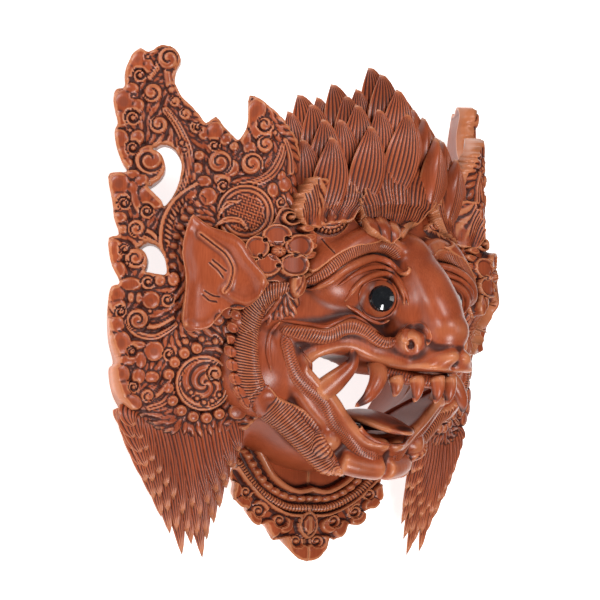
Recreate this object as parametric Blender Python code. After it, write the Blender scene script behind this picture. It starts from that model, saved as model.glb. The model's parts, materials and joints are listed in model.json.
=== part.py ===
"""Barong wall mask: one carved wooden block with two polished black pupils let into it.

The mask lies face up. +Z comes out of the face, +Y points to the crest and +X to the mask's left
ear. Z = 0 is the plane its back rests on. The carving is a free form, so its places are given in
parts of its height, 470 to the whole, from the work plane that cuts the mask at the eyes.
"""
import math

import bmesh
import bpy
import numpy as np
from mathutils import Matrix, Vector

# Driving dimensions, in metres
HEIGHT = 0.470            # collar tip to crest tip
PUPIL_RADIUS = 0.012      # black inlay in each eye
PUPIL_DOME = 0.0045       # how far the inlay's dome rises
PUPIL_SEAT = 0.005        # depth of the inlay's round seat
INLAY_GAP = 0.0003        # room between an inlay and its seat
FACE_WALL = 0.030         # wood left between the hollow at the back and the face
RIM_WALL = 0.018          # wood left round the hollow's mouth
TOOL_STEP = 0.0032        # finest cut of the roughed-out block

PART = HEIGHT / 470       # one part of the height
FACETS = 8600             # triangles left on the roughed-out block
GAZE = math.radians(30)   # how far each eye looks outward
CREST_WOOD = 24           # further wood kept behind the crest's leaves
EYE_CENTRE = (43.5, 7, 151)
EYE_RADIUS = 20
SKULL_CENTRE = (0, 8, 30)
SKULL_RADII = (162, 152, 128)
CROWN_CENTRE = (0, 72, 50)
CROWN_RADII = (140, 112, 88)

# The wing's front runs down from the face to an outer edge, and leans less toward its foot
WING_EDGE = 250
WING_FOOT = 18
WING_PLATEAU = 128
LEAN_AT = (-235, -200, -70, 20, 300)
LEAN = (8, 8, 24, 45, 45)
WING_DEPTH = (24, 37)     # thickness of the wing's board, toward the face and at its outer rim
WING_DEPTH_AT = (195, 235)

ROUND = tuple((math.cos(a), math.sin(a)) for a in np.linspace(0, 2 * math.pi, 9)[:-1])
KEEL = ((1, 0), (0.45, 0.55), (0, 1), (-0.45, 0.55), (-1, 0), (0, -0.9))

WOOD = ("carved wood", (0.33, 0.105, 0.042), 0.42, 0.0)
PUPIL = ("black gloss", (0.006, 0.006, 0.007), 0.06, 0.0)


def clear_scene():
    """Take away every object of the starting scene."""
    for thing in list(bpy.data.objects):
        bpy.data.objects.remove(thing, do_unlink=True)


def material(spec):
    """A Principled material from a name, a linear colour, a roughness and a metallic value."""
    name, colour, roughness, metallic = spec
    made = bpy.data.materials.new(name)
    made.use_nodes = True
    shader = made.node_tree.nodes["Principled BSDF"]
    shader.inputs["Base Color"].default_value = (*colour, 1.0)
    shader.inputs["Roughness"].default_value = roughness
    shader.inputs["Metallic"].default_value = metallic
    return made


def mesh_object(name, bm, spec=None):
    """Put a bmesh into a new object of the scene and free it."""
    mesh = bpy.data.meshes.new(name)
    bm.to_mesh(mesh)
    bm.free()
    made = bpy.data.objects.new(name, mesh)
    bpy.context.scene.collection.objects.link(made)
    if spec:
        mesh.materials.append(material(spec))
    return made


def as_cutter(thing):
    """Mark an object as a tool that is no part of the mask."""
    thing.hide_render = True
    thing.display_type = "WIRE"
    return thing


def settle(thing):
    """Replace an object's mesh by what its modifiers make of it."""
    graph = bpy.context.evaluated_depsgraph_get()
    done = bpy.data.meshes.new_from_object(thing.evaluated_get(graph))
    thing.modifiers.clear()
    thing.data = done
    return len(done.polygons)


def smooth_path(points, per_span=6, closed=False):
    """Points of a Catmull-Rom curve through the given points."""
    pts = [np.array(p, float) for p in points]
    count = len(pts)
    spans = count if closed else count - 1
    out = []
    for i in range(spans):
        p1, p2 = pts[i], pts[(i + 1) % count]
        p0 = pts[i - 1] if closed or i else 2 * p1 - p2
        p3 = pts[(i + 2) % count] if closed or i + 2 < count else 2 * p2 - p1
        for t in np.arange(per_span) / per_span:
            out.append(0.5 * (2 * p1 + (p2 - p0) * t + (2 * p0 - 5 * p1 + 4 * p2 - p3) * t ** 2
                              + (3 * p1 - p0 - 3 * p2 + p3) * t ** 3))
    if not closed:
        out.append(pts[-1])
    return np.array(out)


def sweep(bm, path, widths, heights, up=(0, 0, 1), profile=ROUND):
    """A closed bar along a path: widths lie across it, heights toward up."""
    path = np.array(path, float)
    count = len(path)
    widths = np.broadcast_to(widths, (count,))
    heights = np.broadcast_to(heights, (count,))
    rings = []
    for i, place in enumerate(path):
        ahead = path[min(i + 1, count - 1)] - path[max(i - 1, 0)]
        side = np.cross(ahead, np.array(up, float))
        side /= max(np.linalg.norm(side), 1e-9)
        rise = np.cross(side, ahead)
        rise /= max(np.linalg.norm(rise), 1e-9)
        rings.append([bm.verts.new(Vector(place + side * a * widths[i] + rise * b * heights[i]))
                      for a, b in profile])
    for low, high in zip(rings, rings[1:]):
        for j in range(len(profile)):
            k = (j + 1) % len(profile)
            bm.faces.new((low[j], low[k], high[k], high[j]))
    bm.faces.new(rings[0][::-1])
    bm.faces.new(rings[-1])


def leaf(bm, base, tip, width, thick, up=(0, 0, 1), bow=0.0, sway=0.0, steps=6):
    """A pointed leaf or lock with a ridge: bow lifts its middle, sway bends it sideways."""
    base, tip, up = (np.array(v, float) for v in (base, tip, up))
    side = np.cross(tip - base, up)
    side /= np.linalg.norm(side)
    along = np.linspace(0, 1, steps + 1)
    arch = 4 * along * (1 - along)
    path = base + np.outer(along, tip - base) + np.outer(arch * bow, up) + np.outer(arch * sway, side)
    body = np.interp(along, (0, 0.35, 0.7, 1), (0.7, 1, 0.72, 0.07))
    sweep(bm, path, width / 2 * body, thick / 2 * np.sqrt(body), up, KEEL)


def blob(bm, centre, radii, turn=None, detail=3):
    """An ellipsoid; turn is a rotation that is applied about its centre."""
    radii = (radii,) * 3 if np.isscalar(radii) else radii
    place = Matrix.Translation(centre) @ (turn.to_4x4() if turn else Matrix.Identity(4))
    place = place @ Matrix.Diagonal((*radii, 1))
    bmesh.ops.create_icosphere(bm, subdivisions=detail, radius=1, matrix=place)


def level(z):
    """The point at one height over any X and Y."""
    return lambda x, y: (x, y, z)


def outline_plate(bm, loops, top, bottom):
    """A plate with an outline and holes; top and bottom give its faces' points at X and Y."""
    bm_plate = bmesh.new()
    for loop in loops:
        verts = [bm_plate.verts.new((p[0], p[1], 0)) for p in loop]
        for one, two in zip(verts, verts[1:] + verts[:1]):
            bm_plate.edges.new((one, two))
    bmesh.ops.triangle_fill(bm_plate, use_beauty=True, use_dissolve=False, edges=bm_plate.edges[:])
    bmesh.ops.subdivide_edges(bm_plate, edges=bm_plate.edges[:], cuts=2, use_grid_fill=True)
    grown = bmesh.ops.extrude_face_region(bm_plate, geom=bm_plate.faces[:])["geom"]
    upper = {v for v in grown if isinstance(v, bmesh.types.BMVert)}
    for vert in bm_plate.verts:
        vert.co = (top if vert in upper else bottom)(vert.co.x, vert.co.y)
    bmesh.ops.recalc_face_normals(bm_plate, faces=bm_plate.faces[:])
    scratch = bpy.data.meshes.new("plate")
    bm_plate.to_mesh(scratch)
    bm_plate.free()
    bm.from_mesh(scratch)
    bpy.data.meshes.remove(scratch)


def mirror_copy(bm):
    """Add the mirror image in X of all that the bmesh holds."""
    bmesh.ops.recalc_face_normals(bm, faces=bm.faces[:])
    copied = bmesh.ops.duplicate(bm, geom=bm.verts[:] + bm.edges[:] + bm.faces[:])["geom"]
    verts = [g for g in copied if isinstance(g, bmesh.types.BMVert)]
    bmesh.ops.scale(bm, vec=(-1, 1, 1), verts=verts)
    bmesh.ops.reverse_faces(bm, faces=[g for g in copied if isinstance(g, bmesh.types.BMFace)])


def wing_lean(y):
    """Angle by which the wing's front leans back at a place down its length."""
    return math.radians(float(np.interp(y, LEAN_AT, LEAN)))


def on_wing(x, y, lift=0.0):
    """A point over the wing's front, beside the face."""
    rise = min(WING_FOOT + (WING_EDGE - x) * math.tan(wing_lean(y)), WING_PLATEAU)
    return np.array((x, y, rise + lift))


def behind_wing(x, y):
    """A point of the board's back, square behind its front, before the back plane cuts it."""
    square = np.array((math.sin(wing_lean(y)), 0, math.cos(wing_lean(y))))
    return on_wing(x, y) - float(np.interp(x, WING_DEPTH_AT, WING_DEPTH)) * square


def wing_up(x, y):
    """The wing's outward direction at a place."""
    across = on_wing(x + 4, y) - on_wing(x - 4, y)
    along = on_wing(x, y + 4) - on_wing(x, y - 4)
    return np.cross(across, along) / np.linalg.norm(np.cross(across, along))


def wing_leaf(bm, start, end, width, thick=16, lift=0, sway=0.0):
    """A leaf that lies on the wing from one place to another."""
    up = wing_up(*((np.array(start) + np.array(end)) / 2))
    leaf(bm, on_wing(*start, lift), on_wing(*end, lift), width, thick, up, 0, sway)


def wing_scroll(bm, x, y, radius, lift=2):
    """The rolled eye of a scroll: a low dome on the wing."""
    up = Vector(wing_up(x, y))
    turn = up.to_track_quat("Z", "Y").to_matrix()
    blob(bm, on_wing(x, y, lift), (radius, radius, radius * 0.8), turn, 2)


def wing_plates(bm):
    """The pierced board of a side wing, down to the fur."""
    outer = ((216, 228), (228, 225), (236, 206), (241, 180), (240, 150), (243, 105), (242, 60),
             (244, 5), (240, -40), (232, -75), (216, -104), (185, -122), (145, -122), (112, -96),
             (104, -40), (104, 40), (108, 100), (118, 140), (138, 160), (152, 168), (168, 142),
             (184, 158), (198, 176), (206, 198), (204, 216))
    upper_hole = ((222, 138), (212, 145), (202, 130), (202, 110), (210, 87), (226, 104), (218, 120))
    lower_hole = ((231, 50), (221, 57), (211, 42), (210, 24), (226, 29))
    loops = [smooth_path(loop, 3, True) for loop in (outer, upper_hole, lower_hole)]
    outline_plate(bm, loops, lambda x, y: on_wing(x, y, -4), behind_wing)


def wing_relief(bm):
    """Flame leaves along the wing's edges, scrolls, rims, and the spikes at its crown."""
    edge_leaves = (((219, 196), (230, 226), 30), ((226, 160), (242, 190), 30),
                   ((232, 124), (241, 154), 22), ((233, 70), (244, 115), 24),
                   ((234, 22), (244, 58), 22), ((224, -42), (243, 16), 30),
                   ((214, -92), (238, -54), 30))
    for low, high, width in edge_leaves:
        wing_leaf(bm, low, high, width, 26, -8, 5)
        wing_scroll(bm, low[0] + 6, low[1] + 10, 8, 1)
    for low, high in (((150, 140), (161, 190)), ((132, 128), (139, 170)), ((170, 120), (182, 166))):
        wing_leaf(bm, low, high, 24, 24, -4)
    wing_scroll(bm, 211, 219, 12, 3)
    for x, y, radius in ((221, 188, 9), (216, 160, 11), (221, 124, 8), (226, 80, 8),
                         (229, 66, 7), (200, 148, 8), (184, 142, 10), (180, 124, 11),
                         (160, 126, 15), (148, 143, 9), (232, -20, 9), (218, 4, 8)):
        wing_scroll(bm, x, y, radius)
    rim = [on_wing(x, y, 1) for x, y in smooth_path(((168, 112), (194, 105), (208, 88), (214, 68),
                                                     (212, 34)), 3)]
    sweep(bm, rim, 4, 5, (0.6, 0, 0.8))
    wing_scroll(bm, 164, 80, 24, -4)
    for start, end in (((182, 96), (198, 100)), ((186, 80), (206, 84)), ((190, 64), (210, 66))):
        wing_leaf(bm, start, end, 15, 20, 0)


def medallion(bm):
    """The round boss under the ear, its ring of lobes and the leaves below it."""
    middle = (167, -68)
    wing_scroll(bm, *middle, 27, 0)
    for angle in np.radians(np.arange(0, 360, 36)):
        ray = np.array((math.cos(angle), math.sin(angle)))
        wing_leaf(bm, middle + 22 * ray, middle + 41 * ray, 22, 20, 0)
    for x, y in ((146, -112), (178, -116), (206, -100), (206, -28), (190, -18)):
        wing_scroll(bm, x, y, 13, 0)


def fur_tuft(bm):
    """Long locks that fall from the wing's foot, longest in the middle."""
    heads = np.linspace(0, 1, 8)
    top = smooth_path(((216, -96), (196, -100), (166, -100), (128, -92)), 3)
    tips = smooth_path(((212, -140), (203, -160), (190, -182), (173, -206), (158, -222),
                        (144, -222), (136, -206), (126, -172)), 3)
    for share in heads:
        begin = top[round(share * (len(top) - 1))]
        end = tips[round(share * (len(tips) - 1))]
        wing_leaf(bm, begin, end, 34, 30, -14, 3)


def ear(bm):
    """A pointed ear: a thick rim round a shallow hollow, over the wing."""
    rim = ((150, -4), (182, -20), (198, -12), (205, 10), (207, 40), (205, 62), (198, 78),
           (184, 66), (166, 56), (156, 36))
    loop = smooth_path(rim, 3, True)
    outline_plate(bm, [loop], lambda x, y: on_wing(x, y, 4), lambda x, y: on_wing(x, y, -16))
    edge = [on_wing(x, y, 6) for x, y in smooth_path(rim[:-1], 3)]
    sweep(bm, edge, 6, 8, (0.6, 0, 0.8))
    leaf(bm, on_wing(184, 10, 6), on_wing(168, 40, 8), 16, 14, wing_up(180, 20), 0, 4)


def flower(bm):
    """Five round petals and a button, at the temple."""
    middle = np.array((136, 44, 121))
    up = np.array((0.66, 0.1, 0.74))
    side = np.cross(up, (0, 1, 0))
    side /= np.linalg.norm(side)
    rise = np.cross(side, up) * -1
    turn = Vector(up).to_track_quat("Z", "Y").to_matrix()
    for angle in np.radians(18 + 72 * np.arange(5)):
        place = middle + 13 * (math.cos(angle) * side + math.sin(angle) * rise)
        blob(bm, place, (11, 11, 7), turn, 2)
    blob(bm, middle + 5 * up, (7.5, 7.5, 6), turn, 2)


def eye(bm):
    """Eyeball between heavy lids, under a banded brow that rolls in beside the snout."""
    blob(bm, EYE_CENTRE, EYE_RADIUS)
    blob(bm, (62, 26, 128), (46, 34, 30))
    brow = smooth_path(((118, 18, 122), (98, 36, 133), (81, 45, 141), (60, 58, 147), (40, 63, 150),
                        (22, 56, 154), (12, 44, 158)), 3)
    sweep(bm, brow, np.interp(np.linspace(0, 1, len(brow)), (0, 0.3, 1), (3, 9, 8)), 9)
    lid = smooth_path(((74, -6, 142), (70, 14, 147), (52, 28, 154), (32, 26, 161), (22, 10, 165)), 3)
    sweep(bm, lid, 5, 5)
    under = smooth_path(((74, -6, 142), (58, -14, 152), (38, -14, 162), (24, -4, 166)), 3)
    sweep(bm, under, 4, 4)


def side_face(bm):
    """Cheek, nostril, lips, jaw and the flames behind the mouth, on one side."""
    blob(bm, (108, -46, 62), (50, 52, 50))
    blob(bm, (31, -32, 178), (13, 12, 15))
    upper_band = smooth_path(((112, -50, 106), (118, -26, 110), (97, -25, 134), (72, -18, 147),
                              (48, -32, 156), (30, -40, 172)), 4)
    sweep(bm, upper_band, 8, 8)
    upper_lip = smooth_path(((104, -50, 112), (96, -40, 128), (74, -34, 142), (50, -44, 154),
                             (30, -50, 176), (14, -47, 202), (0, -42, 212)), 4)
    sweep(bm, upper_lip, 7, 9)
    lower_lip = smooth_path(((106, -50, 112), (90, -66, 114), (72, -80, 117), (56, -95, 116),
                             (40, -108, 115), (24, -119, 117), (0, -122, 128)), 4)
    sweep(bm, lower_lip, 7, 10)
    lower_band = smooth_path(((118, -26, 108), (108, -55, 105), (86, -82, 105), (62, -102, 106),
                              (44, -114, 101), (26, -126, 105), (0, -131, 117)), 4)
    sweep(bm, lower_band, 9, 10)
    chin = smooth_path(((44, -136, 103), (24, -141, 111), (0, -143, 118)), 3)
    sweep(bm, chin, 11, 12)
    blob(bm, (58, -118, 104), (12, 11, 12), None, 2)
    beard = smooth_path(((124, -84, 72), (96, -104, 74), (66, -126, 76), (36, -144, 84)), 3)
    sweep(bm, beard, 14, 16)
    for x, y, z, angle in ((139, 13, 104, 80), (148, -23, 86, 50), (145, -57, 74, 20), (128, -85, 78, -10),
                           (108, -106, 78, -40), (84, -124, 80, -60), (60, -138, 84, -75)):
        turn = math.radians(angle)
        tip = np.array((x + 14 * math.cos(turn), y + 14 * math.sin(turn), z - 6))
        leaf(bm, (x - 12 * math.cos(turn), y - 12 * math.sin(turn), z + 6), tip, 24, 18)


def middle_face(bm):
    """Skull, forehead, snout, nose and chin, which cross the middle."""
    blob(bm, SKULL_CENTRE, SKULL_RADII, None, 4)
    blob(bm, CROWN_CENTRE, CROWN_RADII, None, 4)
    blob(bm, (0, -2, 152), (38, 42, 44))
    blob(bm, (0, 36, 146), (24, 36, 32))
    blob(bm, (0, -21, 195), (22, 20, 21))
    blob(bm, (0, -40, 168), (36, 16, 34))
    blob(bm, (0, -122, 92), (50, 26, 28))
    for y in (56, 70):
        sweep(bm, smooth_path(((-26, y, 150), (0, y + 6, 158), (26, y, 150)), 4), 6, 6)


def forehead(bm):
    """The jewelled band over the brow, and a fan of flame fingers over each of its jewels."""
    for x, y, z in ((0, 80, 137), (80, 78, 128), (-80, 78, 128)):
        blob(bm, (x, y, z), (15, 10, 8), None, 2)
    fans = (((0, 80, 132), 58, 34), ((80, 84, 120), 34, 24), ((-80, 84, 120), 34, 24))
    for foot, reach, spread in fans:
        for share in np.linspace(-1, 1, 7):
            lean = math.radians(share * 68)
            long = reach * (1 - 0.35 * share ** 2)
            tip = np.array(foot) + (long * math.sin(lean) * spread / 24 * 0.7, long * math.cos(lean), 0)
            leaf(bm, foot, tip, 15, 18, (0, 0, 1), 5)
    for side in (-1, 1):
        for start, end in (((30, 76, 138), (52, 98, 130)), ((62, 72, 130), (46, 92, 130)),
                           ((98, 66, 122), (112, 88, 118))):
            leaf(bm, np.array(start) * (side, 1, 1), np.array(end) * (side, 1, 1), 22, 16)


def crest(bm):
    """Four rows of broad pointed leaves, each row higher and further back than the last."""
    rows = (((0, 184, 148), (45, 167, 144), (86, 153, 134)),
            ((0, 207, 137), (46, 188, 128), (82, 171, 120)),
            ((0, 224, 117), (46, 198, 114), (80, 187, 103)),
            ((0, 236, 102), (49, 210, 100), (82, 197, 89)))
    for row, tips in enumerate(rows):
        for column, (x, y, z) in enumerate(tips):
            rise = 10 - 8 * row
            base = (x * 0.9, y - 64 + 4 * column, z - rise)
            for side in (-1, 1) if x else (1,):
                leaf(bm, np.array(base) * (side, 1, 1), (side * x, y, z), 38, 24, (0, 0, 1), 5)
    for x, y, z in ((23, 186, 134), (66, 172, 126), (24, 208, 108), (66, 196, 98), (108, 150, 118),
                    (104, 178, 98)):
        for side in (-1, 1):
            leaf(bm, (side * x * 0.9, y - 56, z - 4), (side * x, y, z), 34, 22, (0, 0, 1), 4)


def collar(bm):
    """The flat bib under the chin: nested arcs round a shield, over a row of leaves."""
    board = ((96, -128), (101, -152), (97, -172), (76, -184), (60, -198), (36, -204), (20, -222),
             (0, -238))
    loop = smooth_path(board + tuple((-x, y) for x, y in board[-2::-1]), 2)
    outline_plate(bm, [loop], level(12), level(-6))
    for reach, depth, lift in ((76, 34, 20), (62, 24, 26), (48, 14, 32)):
        bend = np.linspace(0, math.pi, 15)
        arc = [(-reach * math.cos(a), -148 - depth * math.sin(a) ** 0.8, lift) for a in bend]
        sweep(bm, arc, 6, 6)
    blob(bm, (0, -192, 12), (12, 15, 9), None, 2)
    for x, y, lean in ((0, -212, 0), (36, -196, 24), (68, -182, 44), (92, -160, 66)):
        for side in (-1, 1) if x else (1,):
            turn = math.radians(lean)
            tip = (side * (x + 22 * math.sin(turn)), y - 26 * math.cos(turn), 10)
            leaf(bm, (side * x * 0.85, y + 16, 14), tip, 28, 14)


def mouth_parts(bm):
    """Tongue, teeth, and the two tusks of each side."""
    tongue = smooth_path(((0, -92, 88), (0, -98, 112), (0, -106, 134), (0, -112, 152)), 3)
    sweep(bm, tongue, np.linspace(34, 15, len(tongue)), 8, (0, 1, 0))
    for x, tip_y, z in ((8, -84, 188), (21, -84, 176), (32, -80, 162)):
        for side in (-1, 1):
            leaf(bm, (side * x, -46, z + 2), (side * x, tip_y, z), 12, 14)
    for side in (-1, 1):
        upper = [(side * x, y, z) for x, y, z in ((40, -48, 148), (52, -64, 160), (64, -80, 160),
                                                  (74, -90, 152))]
        sweep(bm, smooth_path(upper, 3), np.linspace(9, 3, 10), np.linspace(9, 3, 10), (0, 1, 0))
        lower = [(side * x, y, z) for x, y, z in ((84, -74, 112), (78, -62, 126), (74, -50, 138),
                                                  (80, -36, 142))]
        sweep(bm, smooth_path(lower, 3), np.linspace(10, 4, 10), np.linspace(10, 4, 10))


def hollow_cutter(centre, radii, kept):
    """The hollow behind one of the dome forms; kept is further wood left over it."""
    rim, face = RIM_WALL / PART, FACE_WALL / PART
    wide, tall, high = radii
    inner = (wide - rim - kept, tall - rim - kept, centre[2] + high - face - kept)
    bm = bmesh.new()
    blob(bm, (0, centre[1], 0), inner)
    return scaled(as_cutter(mesh_object("hollow cutter", bm)))


def mouth_cutter():
    """The open mouth, from lip to lip and through into the hollow."""
    bm = bmesh.new()
    half = smooth_path(((0, -58), (34, -56), (66, -44), (92, -44), (98, -52), (84, -66), (62, -82),
                        (44, -98), (24, -108), (0, -111)), 3)
    loop = list(half) + [(-x, y) for x, y in half[-2:0:-1]]
    outline_plate(bm, [loop], level(260), level(60))
    return scaled(as_cutter(mesh_object("mouth cutter", bm)))


def gaze_frame(side):
    """Place and direction of an eye's inlay: the seat's rim lies where this frame's origin is."""
    out = Vector((side * math.sin(GAZE), 0, math.cos(GAZE)))
    rim = EYE_RADIUS * PART - PUPIL_RADIUS ** 2 / (2 * EYE_RADIUS * PART)
    centre = Vector(EYE_CENTRE) * PART
    centre.x *= side
    return Matrix.Translation(centre + out * rim) @ out.to_track_quat("Z", "Y").to_matrix().to_4x4()


def inlay(bm, radius, depth, dome, side):
    """A round disc sunk by its depth, with a domed front where dome is over nothing."""
    turns = 24
    rings = [(radius, -depth), (radius, 0.0)]
    rings += [(radius * math.cos(a), dome * math.sin(a)) for a in np.radians((30, 60))]
    place = gaze_frame(side)
    around = np.linspace(0, 2 * math.pi, turns + 1)[:-1]
    loops = [[bm.verts.new(place @ Vector((r * math.cos(a), r * math.sin(a), z))) for a in around]
             for r, z in rings]
    for low, high in zip(loops, loops[1:]):
        for j in range(turns):
            k = (j + 1) % turns
            bm.faces.new((low[j], low[k], high[k], high[j]))
    bm.faces.new(loops[0][::-1])
    top = bm.verts.new(place @ Vector((0, 0, dome)))
    for j in range(turns):
        bm.faces.new((loops[-1][j], loops[-1][(j + 1) % turns], top))


def add_modifier(thing, kind, **settings):
    """Add a modifier with its settings."""
    made = thing.modifiers.new(kind.title(), kind)
    for key, value in settings.items():
        setattr(made, key, value)
    return made


def scaled(thing):
    """Bring a form drawn in parts of the height to metres."""
    thing.data.transform(Matrix.Scale(PART, 4))
    return thing


def form_object(name, forms, spec=None):
    """Draw forms into one object; the first list is copied to the other side, the second isn't."""
    sided, middle = forms
    bm = bmesh.new()
    for form in sided:
        form(bm)
    if sided:
        mirror_copy(bm)
    for form in middle:
        form(bm)
    bmesh.ops.recalc_face_normals(bm, faces=bm.faces[:])
    return scaled(mesh_object(name, bm, spec))


def cut_away(mask, tools, **settings):
    """Cut the tools out of the mask and take them away."""
    for tool in tools:
        add_modifier(mask, "BOOLEAN", operation="DIFFERENCE", object=tool, **settings)
    settle(mask)
    for tool in tools:
        bpy.data.objects.remove(tool, do_unlink=True)


def fuse(mask, other):
    """Make one skin of the mask and another object's forms."""
    both = bmesh.new()
    both.from_mesh(mask.data)
    both.from_mesh(other.data)
    both.to_mesh(mask.data)
    both.free()
    bpy.data.objects.remove(other, do_unlink=True)
    add_modifier(mask, "REMESH", mode="VOXEL", voxel_size=TOOL_STEP)
    return settle(mask)


def floor_cutter():
    """A block under the plane that the back lies on."""
    bm = bmesh.new()
    bmesh.ops.create_cube(bm, size=2 * HEIGHT, matrix=Matrix.Translation((0, 0, -HEIGHT)))
    return as_cutter(mesh_object("floor cutter", bm))


def seat_cutter(side):
    """The round seat of an eye's inlay, with its gap."""
    bm = bmesh.new()
    inlay(bm, PUPIL_RADIUS + INLAY_GAP, PUPIL_SEAT + INLAY_GAP, EYE_RADIUS * PART, side)
    return as_cutter(mesh_object("seat cutter", bm))


def carve_mask():
    """Rough out the block, cut its hollow and mouth, fill the mouth, and finish back and seats."""
    sided = (wing_plates, wing_relief, medallion, fur_tuft, ear, flower, eye, side_face)
    mask = form_object("carved_mask", (sided, (middle_face, forehead, crest, collar)), WOOD)
    add_modifier(mask, "REMESH", mode="VOXEL", voxel_size=TOOL_STEP)
    cut_away(mask, [hollow_cutter(SKULL_CENTRE, SKULL_RADII, 0), mouth_cutter(),
                    hollow_cutter(CROWN_CENTRE, CROWN_RADII, CREST_WOOD)])
    faces = fuse(mask, form_object("mouth parts", ((), (mouth_parts,))))
    add_modifier(mask, "DECIMATE", ratio=min(1.0, FACETS / (2 * faces)))
    settle(mask)
    # The EXACT solver leaves a fold of the thinned skin standing below the back plane
    cut_away(mask, [floor_cutter()], solver="MANIFOLD")
    cut_away(mask, [seat_cutter(side) for side in (-1, 1)])
    return mask


def pupils():
    """The two black inlays."""
    made = []
    for side, name in ((-1, "pupil_right"), (1, "pupil_left")):
        bm = bmesh.new()
        inlay(bm, PUPIL_RADIUS, PUPIL_SEAT, PUPIL_DOME, side)
        made.append(mesh_object(name, bm, PUPIL))
        made[-1].data.shade_smooth()
    return made


def centre_on_base(things):
    """Move everything so that the middle of the block's outline, seen from above, is the origin."""
    spots = np.array([v.co for v in things[0].data.vertices])
    low, high = spots.min(axis=0), spots.max(axis=0)
    shift = Matrix.Translation((-(low[0] + high[0]) / 2, -(low[1] + high[1]) / 2, 0))
    for thing in things:
        thing.data.transform(shift)


def main():
    """Build the mask and its pupils."""
    clear_scene()
    mask = carve_mask()
    centre_on_base([mask, *pupils()])


main()
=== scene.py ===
"""Barong mask: its carved wood and finish, the ground it lies on, the light and the camera.

Sizes are in parts of the mask's height, 470 to the whole, and a part is a millimetre. The mask
lies face up: +Z comes out of the face, +Y points to the crest and +X to its left ear. The carving
is the same on both sides, so one side is drawn, the mask's right, which the photograph shows.
Spots called seen are places in the 600 by 600 photograph, laid on the carving along its view.
"""
from __future__ import annotations

import json
import logging
import math
from dataclasses import dataclass, field
from enum import Enum
from typing import Callable, Iterable, Optional, Protocol, Sequence

import bmesh
import bpy
import numpy as np
from mathutils import Matrix, Vector
from mathutils.bvhtree import BVHTree

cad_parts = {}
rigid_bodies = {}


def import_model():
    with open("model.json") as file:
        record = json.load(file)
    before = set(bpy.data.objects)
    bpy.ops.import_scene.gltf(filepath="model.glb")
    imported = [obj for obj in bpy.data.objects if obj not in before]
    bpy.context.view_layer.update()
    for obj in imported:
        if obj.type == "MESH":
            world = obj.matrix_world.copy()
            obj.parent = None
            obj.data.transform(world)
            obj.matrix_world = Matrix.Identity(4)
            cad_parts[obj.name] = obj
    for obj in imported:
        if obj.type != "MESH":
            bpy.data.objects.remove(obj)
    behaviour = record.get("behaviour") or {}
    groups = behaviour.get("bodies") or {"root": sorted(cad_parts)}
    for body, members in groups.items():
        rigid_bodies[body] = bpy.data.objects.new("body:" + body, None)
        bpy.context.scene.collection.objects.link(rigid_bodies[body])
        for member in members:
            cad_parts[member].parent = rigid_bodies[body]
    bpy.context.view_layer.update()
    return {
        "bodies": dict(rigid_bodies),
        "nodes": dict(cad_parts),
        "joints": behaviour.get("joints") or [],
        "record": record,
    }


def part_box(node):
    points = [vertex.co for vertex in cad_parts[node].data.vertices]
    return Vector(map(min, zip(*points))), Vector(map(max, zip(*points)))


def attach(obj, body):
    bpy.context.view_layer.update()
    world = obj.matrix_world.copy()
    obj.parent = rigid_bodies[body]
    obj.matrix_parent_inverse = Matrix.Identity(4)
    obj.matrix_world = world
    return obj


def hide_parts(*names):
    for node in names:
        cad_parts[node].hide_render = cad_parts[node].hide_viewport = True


log = logging.getLogger("barong_mask")

Form = bmesh.types.BMesh
Spots = Sequence[Sequence[float]]
Place = Callable[[np.ndarray, np.ndarray], np.ndarray]

PART = 0.001            # metres in one part of the height
WELD = 0.02             # vertices closer than this are one
SEED = 11               # start of every random draw
UP = (0, 0, 1)          # out of the face
PLAIN_STEP = 2.4        # length of a plain bar's facets
CUTS_PER_HATCH = 4      # facets from one hatch cut to the next
BAR_SIDES = 14          # facets round a bar
LEAF_FRONT = 0.78       # share of a leaf's facets on its front


class Layer(Enum):
    """Values written on the wood's vertices, from which its finish paints shade and highlights."""

    # How closed in by wood a place lies; the finish paints shade from it.
    SHUT = "occlusion"
    # How far a place lies under its smoothed surface; hollows get painted shade, ridges highlights.
    FINE = "fine"


def clamp(values: np.ndarray) -> np.ndarray:
    """Hold values between 0 and 1."""
    return np.clip(values, 0, 1)


def unit(vectors: np.ndarray) -> np.ndarray:
    """Scale each vector to length one."""
    size = np.linalg.norm(vectors, axis=-1, keepdims=True)
    return vectors / np.maximum(size, 1e-9)


def smooth_path(points: Spots, per_span: int = 6, closed: bool = False) -> np.ndarray:
    """Lay a smooth curve through points.

    Args:
        points: the places the curve passes, in two or three dimensions.
        per_span: steps between one place and the next.
        closed: whether the last place leads back to the first.

    Returns:
        The curve's points.
    """
    pts = [np.array(p, float) for p in points]
    count = len(pts)
    out = []
    for i in range(count if closed else count - 1):
        p1, p2 = pts[i], pts[(i + 1) % count]
        p0 = pts[i - 1] if closed or i else 2 * p1 - p2
        p3 = pts[(i + 2) % count] if closed or i + 2 < count else 2 * p2 - p1
        for t in np.arange(per_span) / per_span:
            out.append(0.5 * (2 * p1 + (p2 - p0) * t + (2 * p0 - 5 * p1 + 4 * p2 - p3) * t ** 2
                              + (3 * p1 - p0 - 3 * p2 + p3) * t ** 3))
    if not closed:
        out.append(pts[-1])
    return np.array(out)


def bent(base: Spots, tip: Spots, up: Spots, bow: float = 0.0, sway: float = 0.0) -> np.ndarray:
    """Draw a bowed path from a base to a tip.

    Args:
        base: where the path starts.
        tip: where it ends.
        up: the outward direction there.
        bow: how far its middle is lifted outward.
        sway: how far its middle is bent sideways.

    Returns:
        The path's points.
    """
    base, tip, up = (np.array(v, float) for v in (base, tip, up))
    side = unit(np.cross(tip - base, up))
    along = np.linspace(0, 1, 13)
    arch = 4 * along * (1 - along)
    return (base + np.outer(along, tip - base) + np.outer(arch * bow, unit(up))
            + np.outer(arch * sway, side))


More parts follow.
